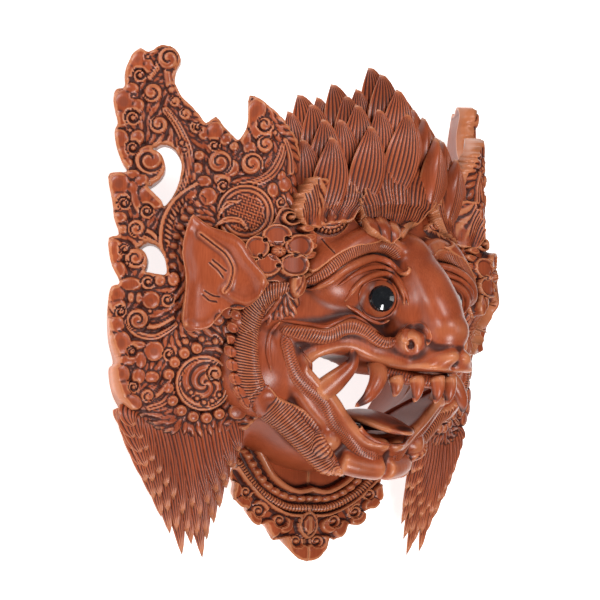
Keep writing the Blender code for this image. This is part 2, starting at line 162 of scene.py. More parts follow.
def verts_of(geometry: Iterable) -> list[bmesh.types.BMVert]:
    """Pick the vertices out of what an operator gives back."""
    return [g for g in geometry if isinstance(g, bmesh.types.BMVert)]


def flat_spots(bm: Form) -> np.ndarray:
    """Read the X and Y of a form's vertices."""
    return np.array([v.co[:2] for v in bm.verts])


def meshed(name: str, bm: Form) -> bpy.types.Mesh:
    """Turn a form into a mesh and free it."""
    mesh = bpy.data.meshes.new(name)
    bm.to_mesh(mesh)
    bm.free()
    return mesh


def placed(name: str, data: bpy.types.ID) -> bpy.types.Object:
    """Put a new object into the scene."""
    made = bpy.data.objects.new(name, data)
    bpy.context.scene.collection.objects.link(made)
    return made


def evened(bm: Form, rounds: int) -> None:
    """Smooth a form's vertices a number of rounds."""
    for _ in range(rounds):
        bmesh.ops.smooth_vert(bm, verts=bm.verts[:], factor=0.5, use_axis_x=True,
                              use_axis_y=True, use_axis_z=True)


def spread(share: np.ndarray, values: float | Sequence[float]) -> np.ndarray:
    """Read a value that changes evenly along a share from 0 to 1."""
    values = np.atleast_1d(values)
    return np.interp(share, np.linspace(0, 1, len(values)), values)


@dataclass
class Run:
    """A path over the carving, with the outward direction along it."""

    path: np.ndarray
    up: Spots = UP

    def __post_init__(self) -> None:
        """Measure the path and its directions."""
        self.path = np.array(self.path, float)
        gaps = np.linalg.norm(np.diff(self.path, axis=0), axis=1)
        self.marks = np.r_[0, np.cumsum(np.maximum(gaps, 1e-6))]
        self.length = float(self.marks[-1])
        self.ups = np.broadcast_to(np.array(self.up, float), self.path.shape)
        self.ahead = np.gradient(self.path, self.marks, axis=0)

    def at(self, share: np.ndarray) -> tuple[np.ndarray, np.ndarray, np.ndarray]:
        """Find places along the run.

        Args:
            share: how far along each place is, from 0 to 1.

        Returns:
            The places, the directions to their side and their outward directions.
        """
        def read(rows: np.ndarray) -> np.ndarray:
            """Interpolate rows at the places asked for."""
            return np.stack([np.interp(share * self.length, self.marks, rows[:, k])
                             for k in range(3)], -1)
        ahead = unit(read(self.ahead))
        side = unit(np.cross(ahead, read(self.ups)))
        return read(self.path), side, np.cross(side, ahead)


def through(points: Spots, per_span: int, up: Spots = UP) -> Run:
    """Lay a run smoothly through points."""
    return Run(smooth_path(points, per_span), up)


def formed(steps: int, around: int, place: Place) -> Form:
    """Bend a grid into a closed form.

    Args:
        steps: cuts along the form.
        around: cuts round it.
        place: gives each point from its shares along and round the form.

    Returns:
        The form, welded along its seam and closed at its ends.
    """
    bm = bmesh.new()
    bmesh.ops.create_grid(bm, x_segments=steps, y_segments=around, size=0.5)
    shares = flat_spots(bm) + 0.5
    for vert, spot in zip(bm.verts, place(shares[:, 0], shares[:, 1])):
        vert.co = spot
    bmesh.ops.remove_doubles(bm, verts=bm.verts[:], dist=WELD)
    bmesh.ops.holes_fill(bm, edges=[e for e in bm.edges if e.is_boundary])
    bmesh.ops.recalc_face_normals(bm, faces=bm.faces[:])
    return bm


def bar(run: Run, width: float | Sequence[float], height: float | Sequence[float],
        hatch: float = 0.0, skew: float = 0.0, depth: float = 0.6,
        ends: tuple[float, float] = (0.05, 0.05)) -> Form:
    """Carve a rounded bar along a run.

    Args:
        run: the bar's middle.
        width: how wide it is, one value or several along it.
        height: how far it stands out, likewise.
        hatch: spacing of the cuts across it, or nothing for a smooth bar.
        skew: how many spacings the cuts lean from one edge to the other.
        depth: how deep they are.
        ends: share of its length in which each end is rounded.

    Returns:
        The bar.
    """
    step = hatch / CUTS_PER_HATCH if hatch else PLAIN_STEP

    def place(along: np.ndarray, turn: np.ndarray) -> np.ndarray:
        """Place a point of the bar."""
        spot, side, rise = run.at(along)
        across, out = np.cos(2 * np.pi * turn), np.sin(2 * np.pi * turn)
        full = np.sqrt(clamp(np.minimum(along / ends[0], (1 - along) / ends[1])))
        high = spread(along, height) * out
        if hatch:
            cuts = np.abs(np.cos(np.pi * (along * run.length / hatch + skew * across / 2))) ** 3
            high = high - depth * cuts * clamp(out) ** 0.5
        wide = spread(along, width) / 2 * across
        return spot + side * (wide * full)[:, None] + rise * (high * full)[:, None]
    return formed(max(8, round(run.length / step)), BAR_SIDES, place)


def blade(run: Run, width: float, thick: float, furrows: int = 0, depth: float = 0.8,
          keel: float = 0.0, both: bool = False, root: float = 0.25, steps: int = 18,
          blunt: float = 1.0) -> Form:
    """Carve a pointed leaf or lock of fur.

    Args:
        run: its midrib, from base to tip.
        width: its greatest width.
        thick: how far its back stands out.
        furrows: cuts that run to the tip.
        depth: how deep they are.
        keel: where its ridge lies across it, from -1 to 1.
        both: whether both faces beside the ridge are cut, or one.
        root: share of the outline that is left out at the base.
        steps: cuts along it.
        blunt: below one, its tip is blunter.

    Returns:
        The leaf.
    """
    def place(along: np.ndarray, turn: np.ndarray) -> np.ndarray:
        """Place a point of the leaf."""
        spot, side, rise = run.at(along)
        body = clamp(np.sin(np.pi * (root + (1 - root) * along))) ** blunt
        share = clamp(turn / LEAF_FRONT)
        back = (turn - LEAF_FRONT) / (1 - LEAF_FRONT)
        across = np.where(turn < LEAF_FRONT, 2 * share - 1, 1 - 2 * back)
        fall = (across - keel) / np.where(across > keel, 1 - keel, 1 + keel)
        out = np.where(turn < LEAF_FRONT, 1 - np.abs(fall) ** 1.7, -0.35 * (1 - across ** 2))
        high = thick * out * np.sqrt(clamp(body))
        if furrows:
            cuts = np.abs(np.cos(np.pi * furrows * share)) ** 4
            reach = clamp(6 * (1 - np.abs(across))) * clamp(3 * body)
            reach = reach * ((across < keel) | both) * (turn < LEAF_FRONT)
            high = high - depth * cuts * reach
        return spot + side * (width / 2 * across * body)[:, None] + rise * high[:, None]
    return formed(steps, max(14, round(furrows * 4 / LEAF_FRONT)), place)


def blob(centre: Spots, radii: float | Spots, detail: int = 4, axis: Spots = UP) -> Form:
    """Turn a rounded lump.

    Args:
        centre: its middle.
        radii: its half sizes.
        detail: how finely it is divided.
        axis: the direction that its third half size lies along.

    Returns:
        The lump.
    """
    radii = (radii,) * 3 if np.isscalar(radii) else radii
    turn = Vector(axis).to_track_quat("Z", "Y").to_matrix().to_4x4()
    bm = bmesh.new()
    bmesh.ops.create_icosphere(bm, subdivisions=detail, radius=1, matrix=Matrix.Translation(centre)
                               @ turn @ Matrix.Diagonal((*radii, 1)))
    return bm


def joined(parts: Iterable[Form]) -> Form:
    """Put several forms into one and free them."""
    whole = bmesh.new()
    scratch = bpy.data.meshes.new("scratch")
    for part in parts:
        part.to_mesh(scratch)
        part.free()
        whole.from_mesh(scratch)
    bpy.data.meshes.remove(scratch)
    return whole


def mirrored(bm: Form, keep: bool = True) -> Form:
    """Mirror a form in X.

    Args:
        bm: the form.
        keep: whether the drawn side stays beside its mirror image.

    Returns:
        The same form, changed.
    """
    geometry = bm.verts[:] + bm.edges[:] + bm.faces[:]
    if keep:
        geometry = bmesh.ops.duplicate(bm, geom=geometry)["geom"]
    bmesh.ops.scale(bm, vec=(-1, 1, 1), verts=verts_of(geometry))
    bmesh.ops.reverse_faces(bm, faces=[g for g in geometry if isinstance(g, bmesh.types.BMFace)])
    return bm


@dataclass(frozen=True)
class Sight:
    """The photograph's view of the mask, in parts of the height."""

    target: tuple[float, float, float] = (5.13, 20.47, 8.21)
    across: tuple[float, float, float] = (0.695, 0.0, 0.719)
    toward: tuple[float, float, float] = (-0.716, -0.098, 0.692)
    distance: float = 2200.0
    lens: float = 138.0
    sensor: float = 36.0
    frame: float = 600.0

    def axes(self) -> tuple[np.ndarray, np.ndarray, np.ndarray]:
        """Give the view's directions to the right, up and toward the camera."""
        right = unit(np.array(self.across))
        back = np.array(self.toward)
        back = unit(back - right * (back @ right))
        return right, np.cross(back, right), back

    def seen(self, points: np.ndarray) -> np.ndarray:
        """Find where points show in the photograph."""
        right, up, back = self.axes()
        rel = np.asarray(points, float) - np.array(self.target)
        scale = self.lens / self.sensor * self.frame / (self.distance - rel @ back)
        return np.stack((self.frame / 2 + rel @ right * scale,
                         self.frame / 2 - rel @ up * scale), -1)

    def rays(self, spots: Spots) -> tuple[np.ndarray, np.ndarray]:
        """Give the camera's place and the direction of each spot from it."""
        right, up, back = self.axes()
        spots = np.atleast_2d(np.array(spots, float))
        focus = self.lens / self.sensor * self.frame
        way = (np.outer((spots[:, 0] - self.frame / 2) / focus, right)
               + np.outer((self.frame / 2 - spots[:, 1]) / focus, up) - back)
        return np.array(self.target) + back * self.distance, unit(way)

    def onto(self, tree: BVHTree, spots: Spots) -> tuple[np.ndarray, np.ndarray]:
        """Lay spots of the photograph on a surface.

        Args:
            tree: the surface.
            spots: the places in the photograph.

        Returns:
            The places on the surface and its outward directions there.
        """
        eye, ways = self.rays(spots)
        places, ups = [], []
        for way in ways:
            place, normal, _, _ = tree.ray_cast(Vector(eye), Vector(way))
            if place is None:
                place, normal, _, _ = tree.find_nearest(Vector(eye + way * (self.distance - 60)))
            places.append(place[:])
            ups.append(normal[:])
        return np.array(places), np.array(ups)

    def camera(self, shift: float) -> None:
        """Set up the camera; shift is the mask's place in Y against these values."""
        right, up, back = self.axes()
        lens = bpy.data.cameras.new("photo camera")
        lens.lens, lens.sensor_width = self.lens, self.sensor
        lens.clip_start = 0.05
        made = placed("photo camera", lens)
        spot = (np.array(self.target) + back * self.distance) * PART + (0, shift, 0)
        frame = Matrix([(*row, 0) for row in np.stack((right, up, back), -1)] + [(0, 0, 0, 1)])
        made.matrix_world = Matrix.Translation(spot) @ frame
        bpy.context.scene.camera = made


@dataclass(frozen=True)
class Sheet:
    """The smooth front that the side wing's relief is cut from, lifted by its own amount."""

    lift: float = 0.0
    edge: float = 250.0
    foot: float = 18.0
    plateau: float = 128.0
    blend: float = 14.0
    lean_at: tuple[float, ...] = (-235, -200, -70, 20, 300)
    lean: tuple[float, ...] = (8, 8, 24, 45, 45)

    def slope(self, y: np.ndarray) -> np.ndarray:
        """Give the angle by which the front leans back."""
        return np.radians(np.interp(y, self.lean_at, self.lean))

    def height(self, x: np.ndarray, y: np.ndarray) -> np.ndarray:
        """Give the front's height at a place beside the face."""
        rise = self.foot + (self.edge - x) * np.tan(self.slope(y))
        near = clamp(0.5 + (self.plateau - rise) / (2 * self.blend))
        return (self.plateau + (rise - self.plateau) * near
                - self.blend * near * (1 - near) + self.lift)

    def points(self, x: np.ndarray, y: np.ndarray) -> np.ndarray:
        """Give the front's points on the mask's left side."""
        return np.stack((x, y, self.height(x, y)), -1)

    def ups(self, x: np.ndarray, y: np.ndarray) -> np.ndarray:
        """Give the front's outward directions there."""
        step = 1.5
        across = self.points(x + step, y) - self.points(x - step, y)
        along = self.points(x, y + step) - self.points(x, y - step)
        return unit(np.cross(across, along))

    def form(self) -> Form:
        """Lay out the bare front of both sides' boards, the mask's right one."""
        bm = bmesh.new()
        bmesh.ops.create_grid(bm, x_segments=60, y_segments=160, size=0.5)
        flat = flat_spots(bm) * (150, 480) + (175, 0)
        for vert, place in zip(bm.verts, self.points(*flat.T) * (-1, 1, 1)):
            vert.co = place
        return bm

    def under(self, sight: Sight, spots: Spots) -> np.ndarray:
        """Find the places beside the face that spots of the photograph fall on."""
        eye, ways = sight.rays(spots)
        near, far = np.full(len(ways), 1700.0), np.full(len(ways), 2600.0)
        for _ in range(30):
            half = (near + far) / 2
            place = eye + ways * half[:, None]
            above = place[:, 2] > self.height(np.abs(place[:, 0]), place[:, 1])
            near, far = np.where(above, half, near), np.where(above, far, half)
        return np.stack((np.abs(place[:, 0]), place[:, 1]), -1)


def measure(spots: np.ndarray, path: np.ndarray) -> tuple[np.ndarray, np.ndarray]:
    """Measure spots against a path in the plane.

    Args:
        spots: the places.
        path: the path's points.

    Returns:
        Each place's distance, negative on the path's left, and how far along the path it lies.
    """
    best = np.full(len(spots), np.inf)
    off, mark = np.zeros(len(spots)), np.zeros(len(spots))
    walked = 0.0
    for start, end in zip(path, path[1:]):
        way = end - start
        size = math.hypot(*way) or 1e-9
        rel = spots - start
        share = clamp(rel @ way / size ** 2)
        gap = np.linalg.norm(rel - np.outer(share, way), axis=1)
        closer = gap < best
        best = np.where(closer, gap, best)
        side = np.sign(way[0] * rel[:, 1] - way[1] * rel[:, 0])
        off = np.where(closer, gap * np.where(side == 0, 1, side), off)
        mark = np.where(closer, walked + share * size, mark)
        walked += size
    return off, mark


def inside(spots: np.ndarray, loop: np.ndarray) -> np.ndarray:
    """Say which spots lie inside a closed outline."""
    within = np.zeros(len(spots), bool)
    for (x1, y1), (x2, y2) in zip(loop, np.roll(loop, -1, axis=0)):
        crosses = (y1 > spots[:, 1]) != (y2 > spots[:, 1])
        reach = (x2 - x1) * (spots[:, 1] - y1) / ((y2 - y1) or 1e-9) + x1
        within ^= crosses & (spots[:, 0] < reach)
    return within


def tray(outline: np.ndarray, holes: Sequence[np.ndarray], step: Sequence[float],
         reach: float) -> Form:
    """Cut a flat sheet of small squares to an outline.

    Args:
        outline: its closed outer outline.
        holes: closed outlines left open in it.
        step: the squares' two sizes.
        reach: how far its rim may move to lie on the outlines.

    Returns:
        The sheet, at height nought.
    """
    low, high = outline.min(axis=0), outline.max(axis=0)
    size = high - low
    bm = bmesh.new()
    bmesh.ops.create_grid(bm, x_segments=max(2, round(size[0] / step[0])),
                          y_segments=max(2, round(size[1] / step[1])), size=0.5)
    bmesh.ops.scale(bm, vec=(*size, 1), verts=bm.verts[:])
    bmesh.ops.translate(bm, vec=(*((low + high) / 2), 0), verts=bm.verts[:])
    middles = np.array([f.calc_center_median()[:2] for f in bm.faces])
    kept = inside(middles, outline)
    for hole in holes:
        kept &= ~inside(middles, hole)
    bmesh.ops.delete(bm, geom=[f for f, stays in zip(bm.faces, kept) if not stays],
                     context="FACES")
    rim = [v for v in bm.verts if v.is_boundary]
    flat = np.array([v.co[:2] for v in rim])
    best = np.full(len(rim), np.inf)
    goal = flat.copy()
    for loop in (outline, *holes):
        for start, end in zip(loop, np.roll(loop, -1, axis=0)):
            way = end - start
            share = clamp((flat - start) @ way / max(way @ way, 1e-9))
            near = start + np.outer(share, way)
            gap = np.linalg.norm(flat - near, axis=1)
            goal = np.where((gap < best)[:, None], near, goal)
            best = np.minimum(best, gap)
    for vert, place, gap in zip(rim, goal, best):
        if gap < reach:
            vert.co.xy = place
    return bm


def walled(bm: Form, front: np.ndarray, back: np.ndarray) -> Form:
    """Turn a flat sheet into a closed form.

    Args:
        bm: the sheet.
        front: where each of its vertices lies on the form's front.
        back: where each lies on its back.

    Returns:
        The same sheet, with a front, a back and walls between.
    """
    for k, vert in enumerate(bm.verts):
        vert.co.z = k
    grown = bmesh.ops.extrude_face_region(bm, geom=bm.faces[:])["geom"]
    raised = set(verts_of(grown))
    for vert in bm.verts:
        k = round(vert.co.z)
        vert.co = front[k] if vert in raised else back[k]
    bmesh.ops.recalc_face_normals(bm, faces=bm.faces[:])
    return bm


class Relief:
    """Low carving, as heights over places of a plane."""

    def __init__(self, spots: np.ndarray) -> None:
        """Start from a flat ground."""
        self.spots = spots
        self.height = np.zeros(len(spots))

    def each(self, carve: Callable, rows: Iterable[Sequence]) -> None:
        """Carve one form for each row of a table."""
        for row in rows:
            carve(*row)

    def lay(self, where: np.ndarray, heights: np.ndarray | float) -> None:
        """Set the heights of chosen places."""
        self.height = np.where(where, heights, self.height)

    def polar(self, x: float, y: float) -> tuple[np.ndarray, np.ndarray]:
        """Measure each place's distance and direction from a centre."""
        rel = self.spots - (x, y)
        return np.hypot(*rel.T), np.arctan2(-rel[:, 1], rel[:, 0])

    def volute(self, x: float, y: float, radius: float, turns: float = 2.0, start: float = 0.0,
               hand: int = 1, rise: float = 7.0) -> None:
        """Carve a rolled scroll: a dome with a spiral cut."""
        far, angle = self.polar(x, y)
        share = far / radius
        phase = turns * share - hand * angle / (2 * np.pi) - start
        cut = np.abs(np.cos(np.pi * phase)) ** 12 * clamp(5 * share - 0.9)
        dome = rise * (0.7 + 0.4 * (1 - share ** 2)) - 0.5 * rise * cut
        edge = clamp((radius - far) / 1.6) ** 0.6
        self.lay(far < radius, np.maximum(dome * edge, self.height * (1 - edge)))

    def eyelet(self, x: float, y: float, radius: float, rise: float = 4.5) -> None:
        """Sink a spiral ring with a bead in its middle into what is there."""
        far, angle = self.polar(x, y)
        share = far / radius
        phase = 1.5 * share - angle / (2 * np.pi) - 0.1
        ridge = rise * (1 - np.abs(np.cos(np.pi * phase)) ** 3) * 0.95
        bead = rise * 1.1 * np.sqrt(clamp(1 - (share / 0.34) ** 2))
        self.lay(far < radius, np.maximum(ridge * clamp(3 * share - 0.8), bead))

    def lobe(self, x: float, y: float, wide: float, tall: float, turn: float = 0.0,
             rise: float = 5.0) -> None:
        """Raise a flat-topped rounded lobe."""
        rel = self.spots - (x, y)
        way = math.radians(turn)
        a = (rel[:, 0] * math.cos(way) - rel[:, 1] * math.sin(way)) / wide
        b = (rel[:, 0] * math.sin(way) + rel[:, 1] * math.cos(way)) / tall
        gap = (1 - np.sqrt(a * a + b * b)) * min(wide, tall)
        top = rise * clamp(gap / 1.8) ** 0.6 * (1 + 0.05 * np.clip(gap, 0, 6))
        self.height = np.maximum(self.height, np.where(gap > 0, top, 0))

    def bead(self, x: float, y: float, radius: float, rise: float = 5.0) -> None:
        """Raise a round bead."""
        far, _ = self.polar(x, y)
        dome = rise * np.sqrt(clamp(1 - (far / radius) ** 2))
        self.height = np.where(far < radius, np.maximum(dome, self.height - 2.5),
                               self.height - 1.2 * (far < radius * 1.25))

    def ribbon(self, path: Spots, width: float | Sequence[float], rise: float = 6.0,
               grooves: int = 0, hatch: float = 0.0, skew: float = 0.0, depth: float = 1.6) -> None:
        """Raise a rounded ribbon along a path.

        Args:
            path: its middle.
            width: how wide it is, one value or several along it.
            rise: how high it stands.
            grooves: cuts that run along it.
            hatch: spacing of cuts across it.
            skew: how many spacings those cuts lean.
            depth: how deep the cuts are.
        """
        curve = smooth_path(path, 5)
        total = np.linalg.norm(np.diff(curve, axis=0), axis=1).sum()
        off, mark = measure(self.spots, curve)
        across = off / (spread(mark / total, width) / 2)
        body = rise * clamp(1 - np.abs(across) ** 2.6) ** 0.5
        if grooves:
            body = body - depth * np.abs(np.cos(np.pi * (grooves + 1) * (across + 1) / 2)) ** 5 \
                * (np.abs(across) < 0.93)
        if hatch:
            body = body - depth * np.abs(np.cos(np.pi * (mark / hatch + skew * across / 2))) ** 3
        self.lay(np.abs(across) < 1, np.maximum(body, self.height - 0.9))

    def swell(self, path: Spots, width: float, rise: float) -> None:
        """Raise a soft swelling along a path."""
        off, _ = measure(self.spots, smooth_path(path, 5))
        self.height += rise * np.exp(-(off / width) ** 2)

    def line(self, path: Spots, width: float = 1.6, depth: float = 2.0) -> None:
        """Cut a groove along a path."""
        off, _ = measure(self.spots, smooth_path(path, 4))
        self.height -= depth * clamp(1 - (off / width) ** 2)


@dataclass(frozen=True)
class CarvedSuar:
    """Suar wood, hand carved, its cuts stained dark, and waxed, with painted shade and highlights.

    To the eye it is a warm reddish brown with long soft fibres. Tool ridges are rubbed paler and
    carry a painted highlight. The cuts stay nearly black, stained dark and with painted shade;
    recesses and gaps between parts get painted shade; the wax gives broad soft highlights.
    """

    name: str = "carved suar wood, waxed"
    heart: str = "#79331A"
    sap: str = "#9B4A2B"
    # Paler colour of ridges rubbed by use, which also serves as their painted highlight.
    worn_and_highlight: str = "#D18C60"
    # Dark colour of the stained cuts, also laid as painted shade in cuts and recesses.
    stain_and_shade: str = "#360E05"
    fibre_mm: float = 1.1
    fibre_length_mm: float = 26.0
    figure_mm: float = 34.0
    roughness: float = 0.31
    relief: float = 0.25
    # Strength of the dark stained colour and painted shade.
    stain_and_shade_reach: float = 0.95
    # Strength of the paler rubbed colour and painted highlight on ridges.
    wear_and_highlight: float = 0.42

    def made(self) -> bpy.types.Material:
        """Build the material."""
        paint = Paint(self.name)
        coords = paint.node("ShaderNodeTexCoord").outputs["Object"]
        figure = paint.noise(coords, self.figure_mm, 3.0, 3.0)
        fibre = paint.noise(coords, self.fibre_mm, self.fibre_length_mm / self.fibre_mm, 4.0)
        occlusion, fine = (paint.node("ShaderNodeAttribute", attribute_name=layer.value).outputs["Fac"]
                      for layer in Layer)
        tone = paint.maths("ADD", paint.maths("MULTIPLY", figure, 0.75),
                           paint.maths("MULTIPLY", fibre, 0.45))
        wood = paint.blend(paint.span(tone, 0.38, 0.85), hex_colour(self.heart),
                           hex_colour(self.sap))
        # Ridges get the paler colour: rubbed wood with a painted highlight.
        ridge = paint.maths("MULTIPLY", paint.span(fine, -0.03, -0.45), self.wear_and_highlight)
        wood = paint.blend(ridge, wood, hex_colour(self.worn_and_highlight))
        # Cuts darken: stained dark, with painted shade.
        cuts = paint.span(paint.maths("ADD", fine, paint.maths("MULTIPLY", fibre, 0.08)),
                          0.08, 0.34)
        # Painted shade where the wood lies closed in: recesses, under parts and between them.
        painted_shade = paint.span(paint.maths("ADD", occlusion, paint.maths("MULTIPLY", figure, 0.1)),
                           0.27, 0.66)
        # The dark stained colour and painted shade, laid over the wood.
        depth = paint.maths("MULTIPLY", paint.maths("MAXIMUM", cuts, painted_shade), self.stain_and_shade_reach)
        wood = paint.blend(depth, wood, hex_colour(self.stain_and_shade))
        shine = paint.maths("ADD", paint.maths("MULTIPLY", fibre, 0.16),
                            paint.maths("MULTIPLY", depth, 0.3))
        shine = paint.maths("ADD", shine, self.roughness - 0.08)
        height = paint.maths("MULTIPLY", fibre, self.relief)
        bump = paint.node("ShaderNodeBump", {"Strength": 0.35, "Distance": 0.0006,
                                             "Height": height}).outputs["Normal"]
        paint.shader({"Base Color": wood, "Roughness": shine, "Normal": bump,
                      "Specular IOR Level": 0.3, "Coat Weight": 0.06, "Coat Roughness": 0.28})
        return paint.material


@dataclass(frozen=True)
class PolishedBlack:
    """Black glass-like resin, cast and polished: deep, with sharp window highlights."""

    name: str = "polished black resin"
    body: str = "#08090B"
    roughness: float = 0.07

    def made(self) -> bpy.types.Material:
        """Build the material."""
        paint = Paint(self.name)
        coords = paint.node("ShaderNodeTexCoord").outputs["Object"]
        haze = paint.noise(coords, 3.0, 1.0, 2.0)
        shine = paint.maths("ADD", paint.maths("MULTIPLY", haze, 0.05), self.roughness - 0.02)
        colour = paint.blend(haze, hex_colour(self.body), hex_colour("#15171B"))
        paint.shader({"Base Color": colour, "Roughness": shine, "Coat Weight": 0.6,
                      "Coat Roughness": 0.03})
        return paint.material


@dataclass(frozen=True)
class WhiteTable:
    """A white light table: matt acrylic, evenly lit from below, so holes in the mask show white."""

    name: str = "white table"
    body: str = "#F4F4F2"
    glow: float = 0.85

    def made(self) -> bpy.types.Material:
        """Build the material."""
        paint = Paint(self.name)
        paint.shader({"Base Color": hex_colour(self.body), "Roughness": 0.7,
                      "Emission Color": (1.0, 1.0, 1.0, 1.0), "Emission Strength": self.glow})
        return paint.material


def hex_colour(text: str) -> tuple[float, float, float, float]:
    """Turn an sRGB hex value into linear light."""
    values = [int(text[i:i + 2], 16) / 255 for i in (1, 3, 5)]
    linear = [v / 12.92 if v <= 0.04045 else ((v + 0.055) / 1.055) ** 2.4 for v in values]
    return (*linear, 1.0)


class Paint:
    """Node work for one material."""

    def __init__(self, name: str) -> None:
        """Start a material with its plain shader."""
        self.material = bpy.data.materials.new(name)
        self.material.use_nodes = True
        self.tree = self.material.node_tree

    def node(self, kind: str, inputs: Optional[dict] = None, **settings: object) -> bpy.types.Node:
        """Add a node.

        Args:
            kind: the node's type.
            inputs: values or sockets for its inputs, by name or number.
            settings: its other settings.

        Returns:
            The node.
        """
        made = self.tree.nodes.new(kind)
        for key, value in settings.items():
            setattr(made, key, value)
        self.fill(made, inputs or {})
        return made

    def fill(self, node: bpy.types.Node, inputs: dict) -> None:
        """Set a node's inputs to values or sockets."""
        for key, value in inputs.items():
            if isinstance(value, bpy.types.NodeSocket):
                self.tree.links.new(value, node.inputs[key])
            else:
                node.inputs[key].default_value = value

    def maths(self, operation: str, one: object, two: object) -> bpy.types.NodeSocket:
        """Work on two values."""
        return self.node("ShaderNodeMath", {0: one, 1: two}, operation=operation).outputs[0]

    def span(self, value: object, low: float, high: float) -> bpy.types.NodeSocket:
        """Bring a value from low to high onto 0 to 1, smoothly."""
        return self.node("ShaderNodeMapRange", {"Value": value, "From Min": low, "From Max": high},
                         interpolation_type="SMOOTHSTEP").outputs["Result"]

    def blend(self, share: object, one: object, two: object) -> bpy.types.NodeSocket:
        """Mix two colours."""
        return self.node("ShaderNodeMix", {0: share, 6: one, 7: two},
                         data_type="RGBA").outputs[2]

    def noise(self, coords: object, size_mm: float, stretch: float,
              detail: float) -> bpy.types.NodeSocket:
        """Make streaks of a real size, drawn out along the mask's height."""
        scale = (1, 1 / stretch, 1)
        turned = self.node("ShaderNodeMapping", {"Vector": coords, "Scale": scale})
        return self.node("ShaderNodeTexNoise", {"Vector": turned.outputs[0],
                                                "Scale": 1000 / size_mm, "Detail": detail,
                                                "Roughness": 0.55}).outputs["Fac"]

    def shader(self, inputs: dict) -> None:
        """Set the shader's sockets."""
        self.fill(self.tree.nodes["Principled BSDF"], inputs)


@dataclass
class Bench:
    """Where finished pieces are put together: the frame, the view and the wood."""

    sight: Sight
    shift: float
    wood: bpy.types.Material
    pieces: list = field(default_factory=list)

    def wooden(self, name: str, bm: Form) -> None:
        """Finish a piece of the carving, in the frame's place and riding on it.

        Args:
            name: the piece's name.
            bm: its form in parts of the height, which is freed.
        """
        bmesh.ops.transform(bm, verts=bm.verts[:], matrix=Matrix.Translation((0, self.shift, 0))
                            @ Matrix.Scale(PART, 4))
        for vert in bm.verts:
            vert.co.z = max(vert.co.z, 0.0)
        if bm.calc_volume(signed=True) < 0:
            bmesh.ops.reverse_faces(bm, faces=bm.faces[:])
        mesh = meshed(name, bm)
        mesh.shade_smooth()
        mesh.materials.append(self.wood)
        made = placed(name, mesh)
        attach(made, "root")
        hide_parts("carved_mask")
        self.pieces.append(made)
        log.info("%s: %d triangles", name, len(mesh.loops) - 2 * len(mesh.polygons))


def settled(bm: Form, modifiers: Sequence[tuple[str, dict]]) -> Form:
    """Run a form through modifiers.

    Args:
        bm: the form, which is freed.
        modifiers: each modifier's type and settings.

    Returns:
        What they make of it.
    """
    mesh = meshed("scratch", bm)
    thing = placed("scratch", mesh)
    for kind, settings in modifiers:
        made = thing.modifiers.new(kind, kind)
        for key, value in settings.items():
            setattr(made, key, value)
    done = bmesh.new()
    done.from_object(thing, bpy.context.evaluated_depsgraph_get())
    bpy.data.objects.remove(thing, do_unlink=True)
    bpy.data.meshes.remove(mesh)
    return done


def cut(bm: Form, tool: Form) -> Form:
    """Cut a tool's form out of another; both are freed."""
    thing = placed("tool", meshed("tool", tool))
    done = settled(bm, [("BOOLEAN", {"operation": "DIFFERENCE", "object": thing,
                                     "solver": "MANIFOLD"})])
    bpy.data.objects.remove(thing, do_unlink=True)
    return done


def prism(loop: Spots, low: float, high: float) -> Form:
    """Stand a closed outline up between two heights."""
    bm = bmesh.new()
    face = bm.faces.new([bm.verts.new((p[0], p[1], low)) for p in loop])
    grown = bmesh.ops.extrude_face_region(bm, geom=[face])["geom"]
    bmesh.ops.translate(bm, vec=(0, 0, high - low), verts=verts_of(grown))
    bmesh.ops.triangulate(bm, faces=bm.faces[:])
    bmesh.ops.recalc_face_normals(bm, faces=bm.faces[:])
    return bm


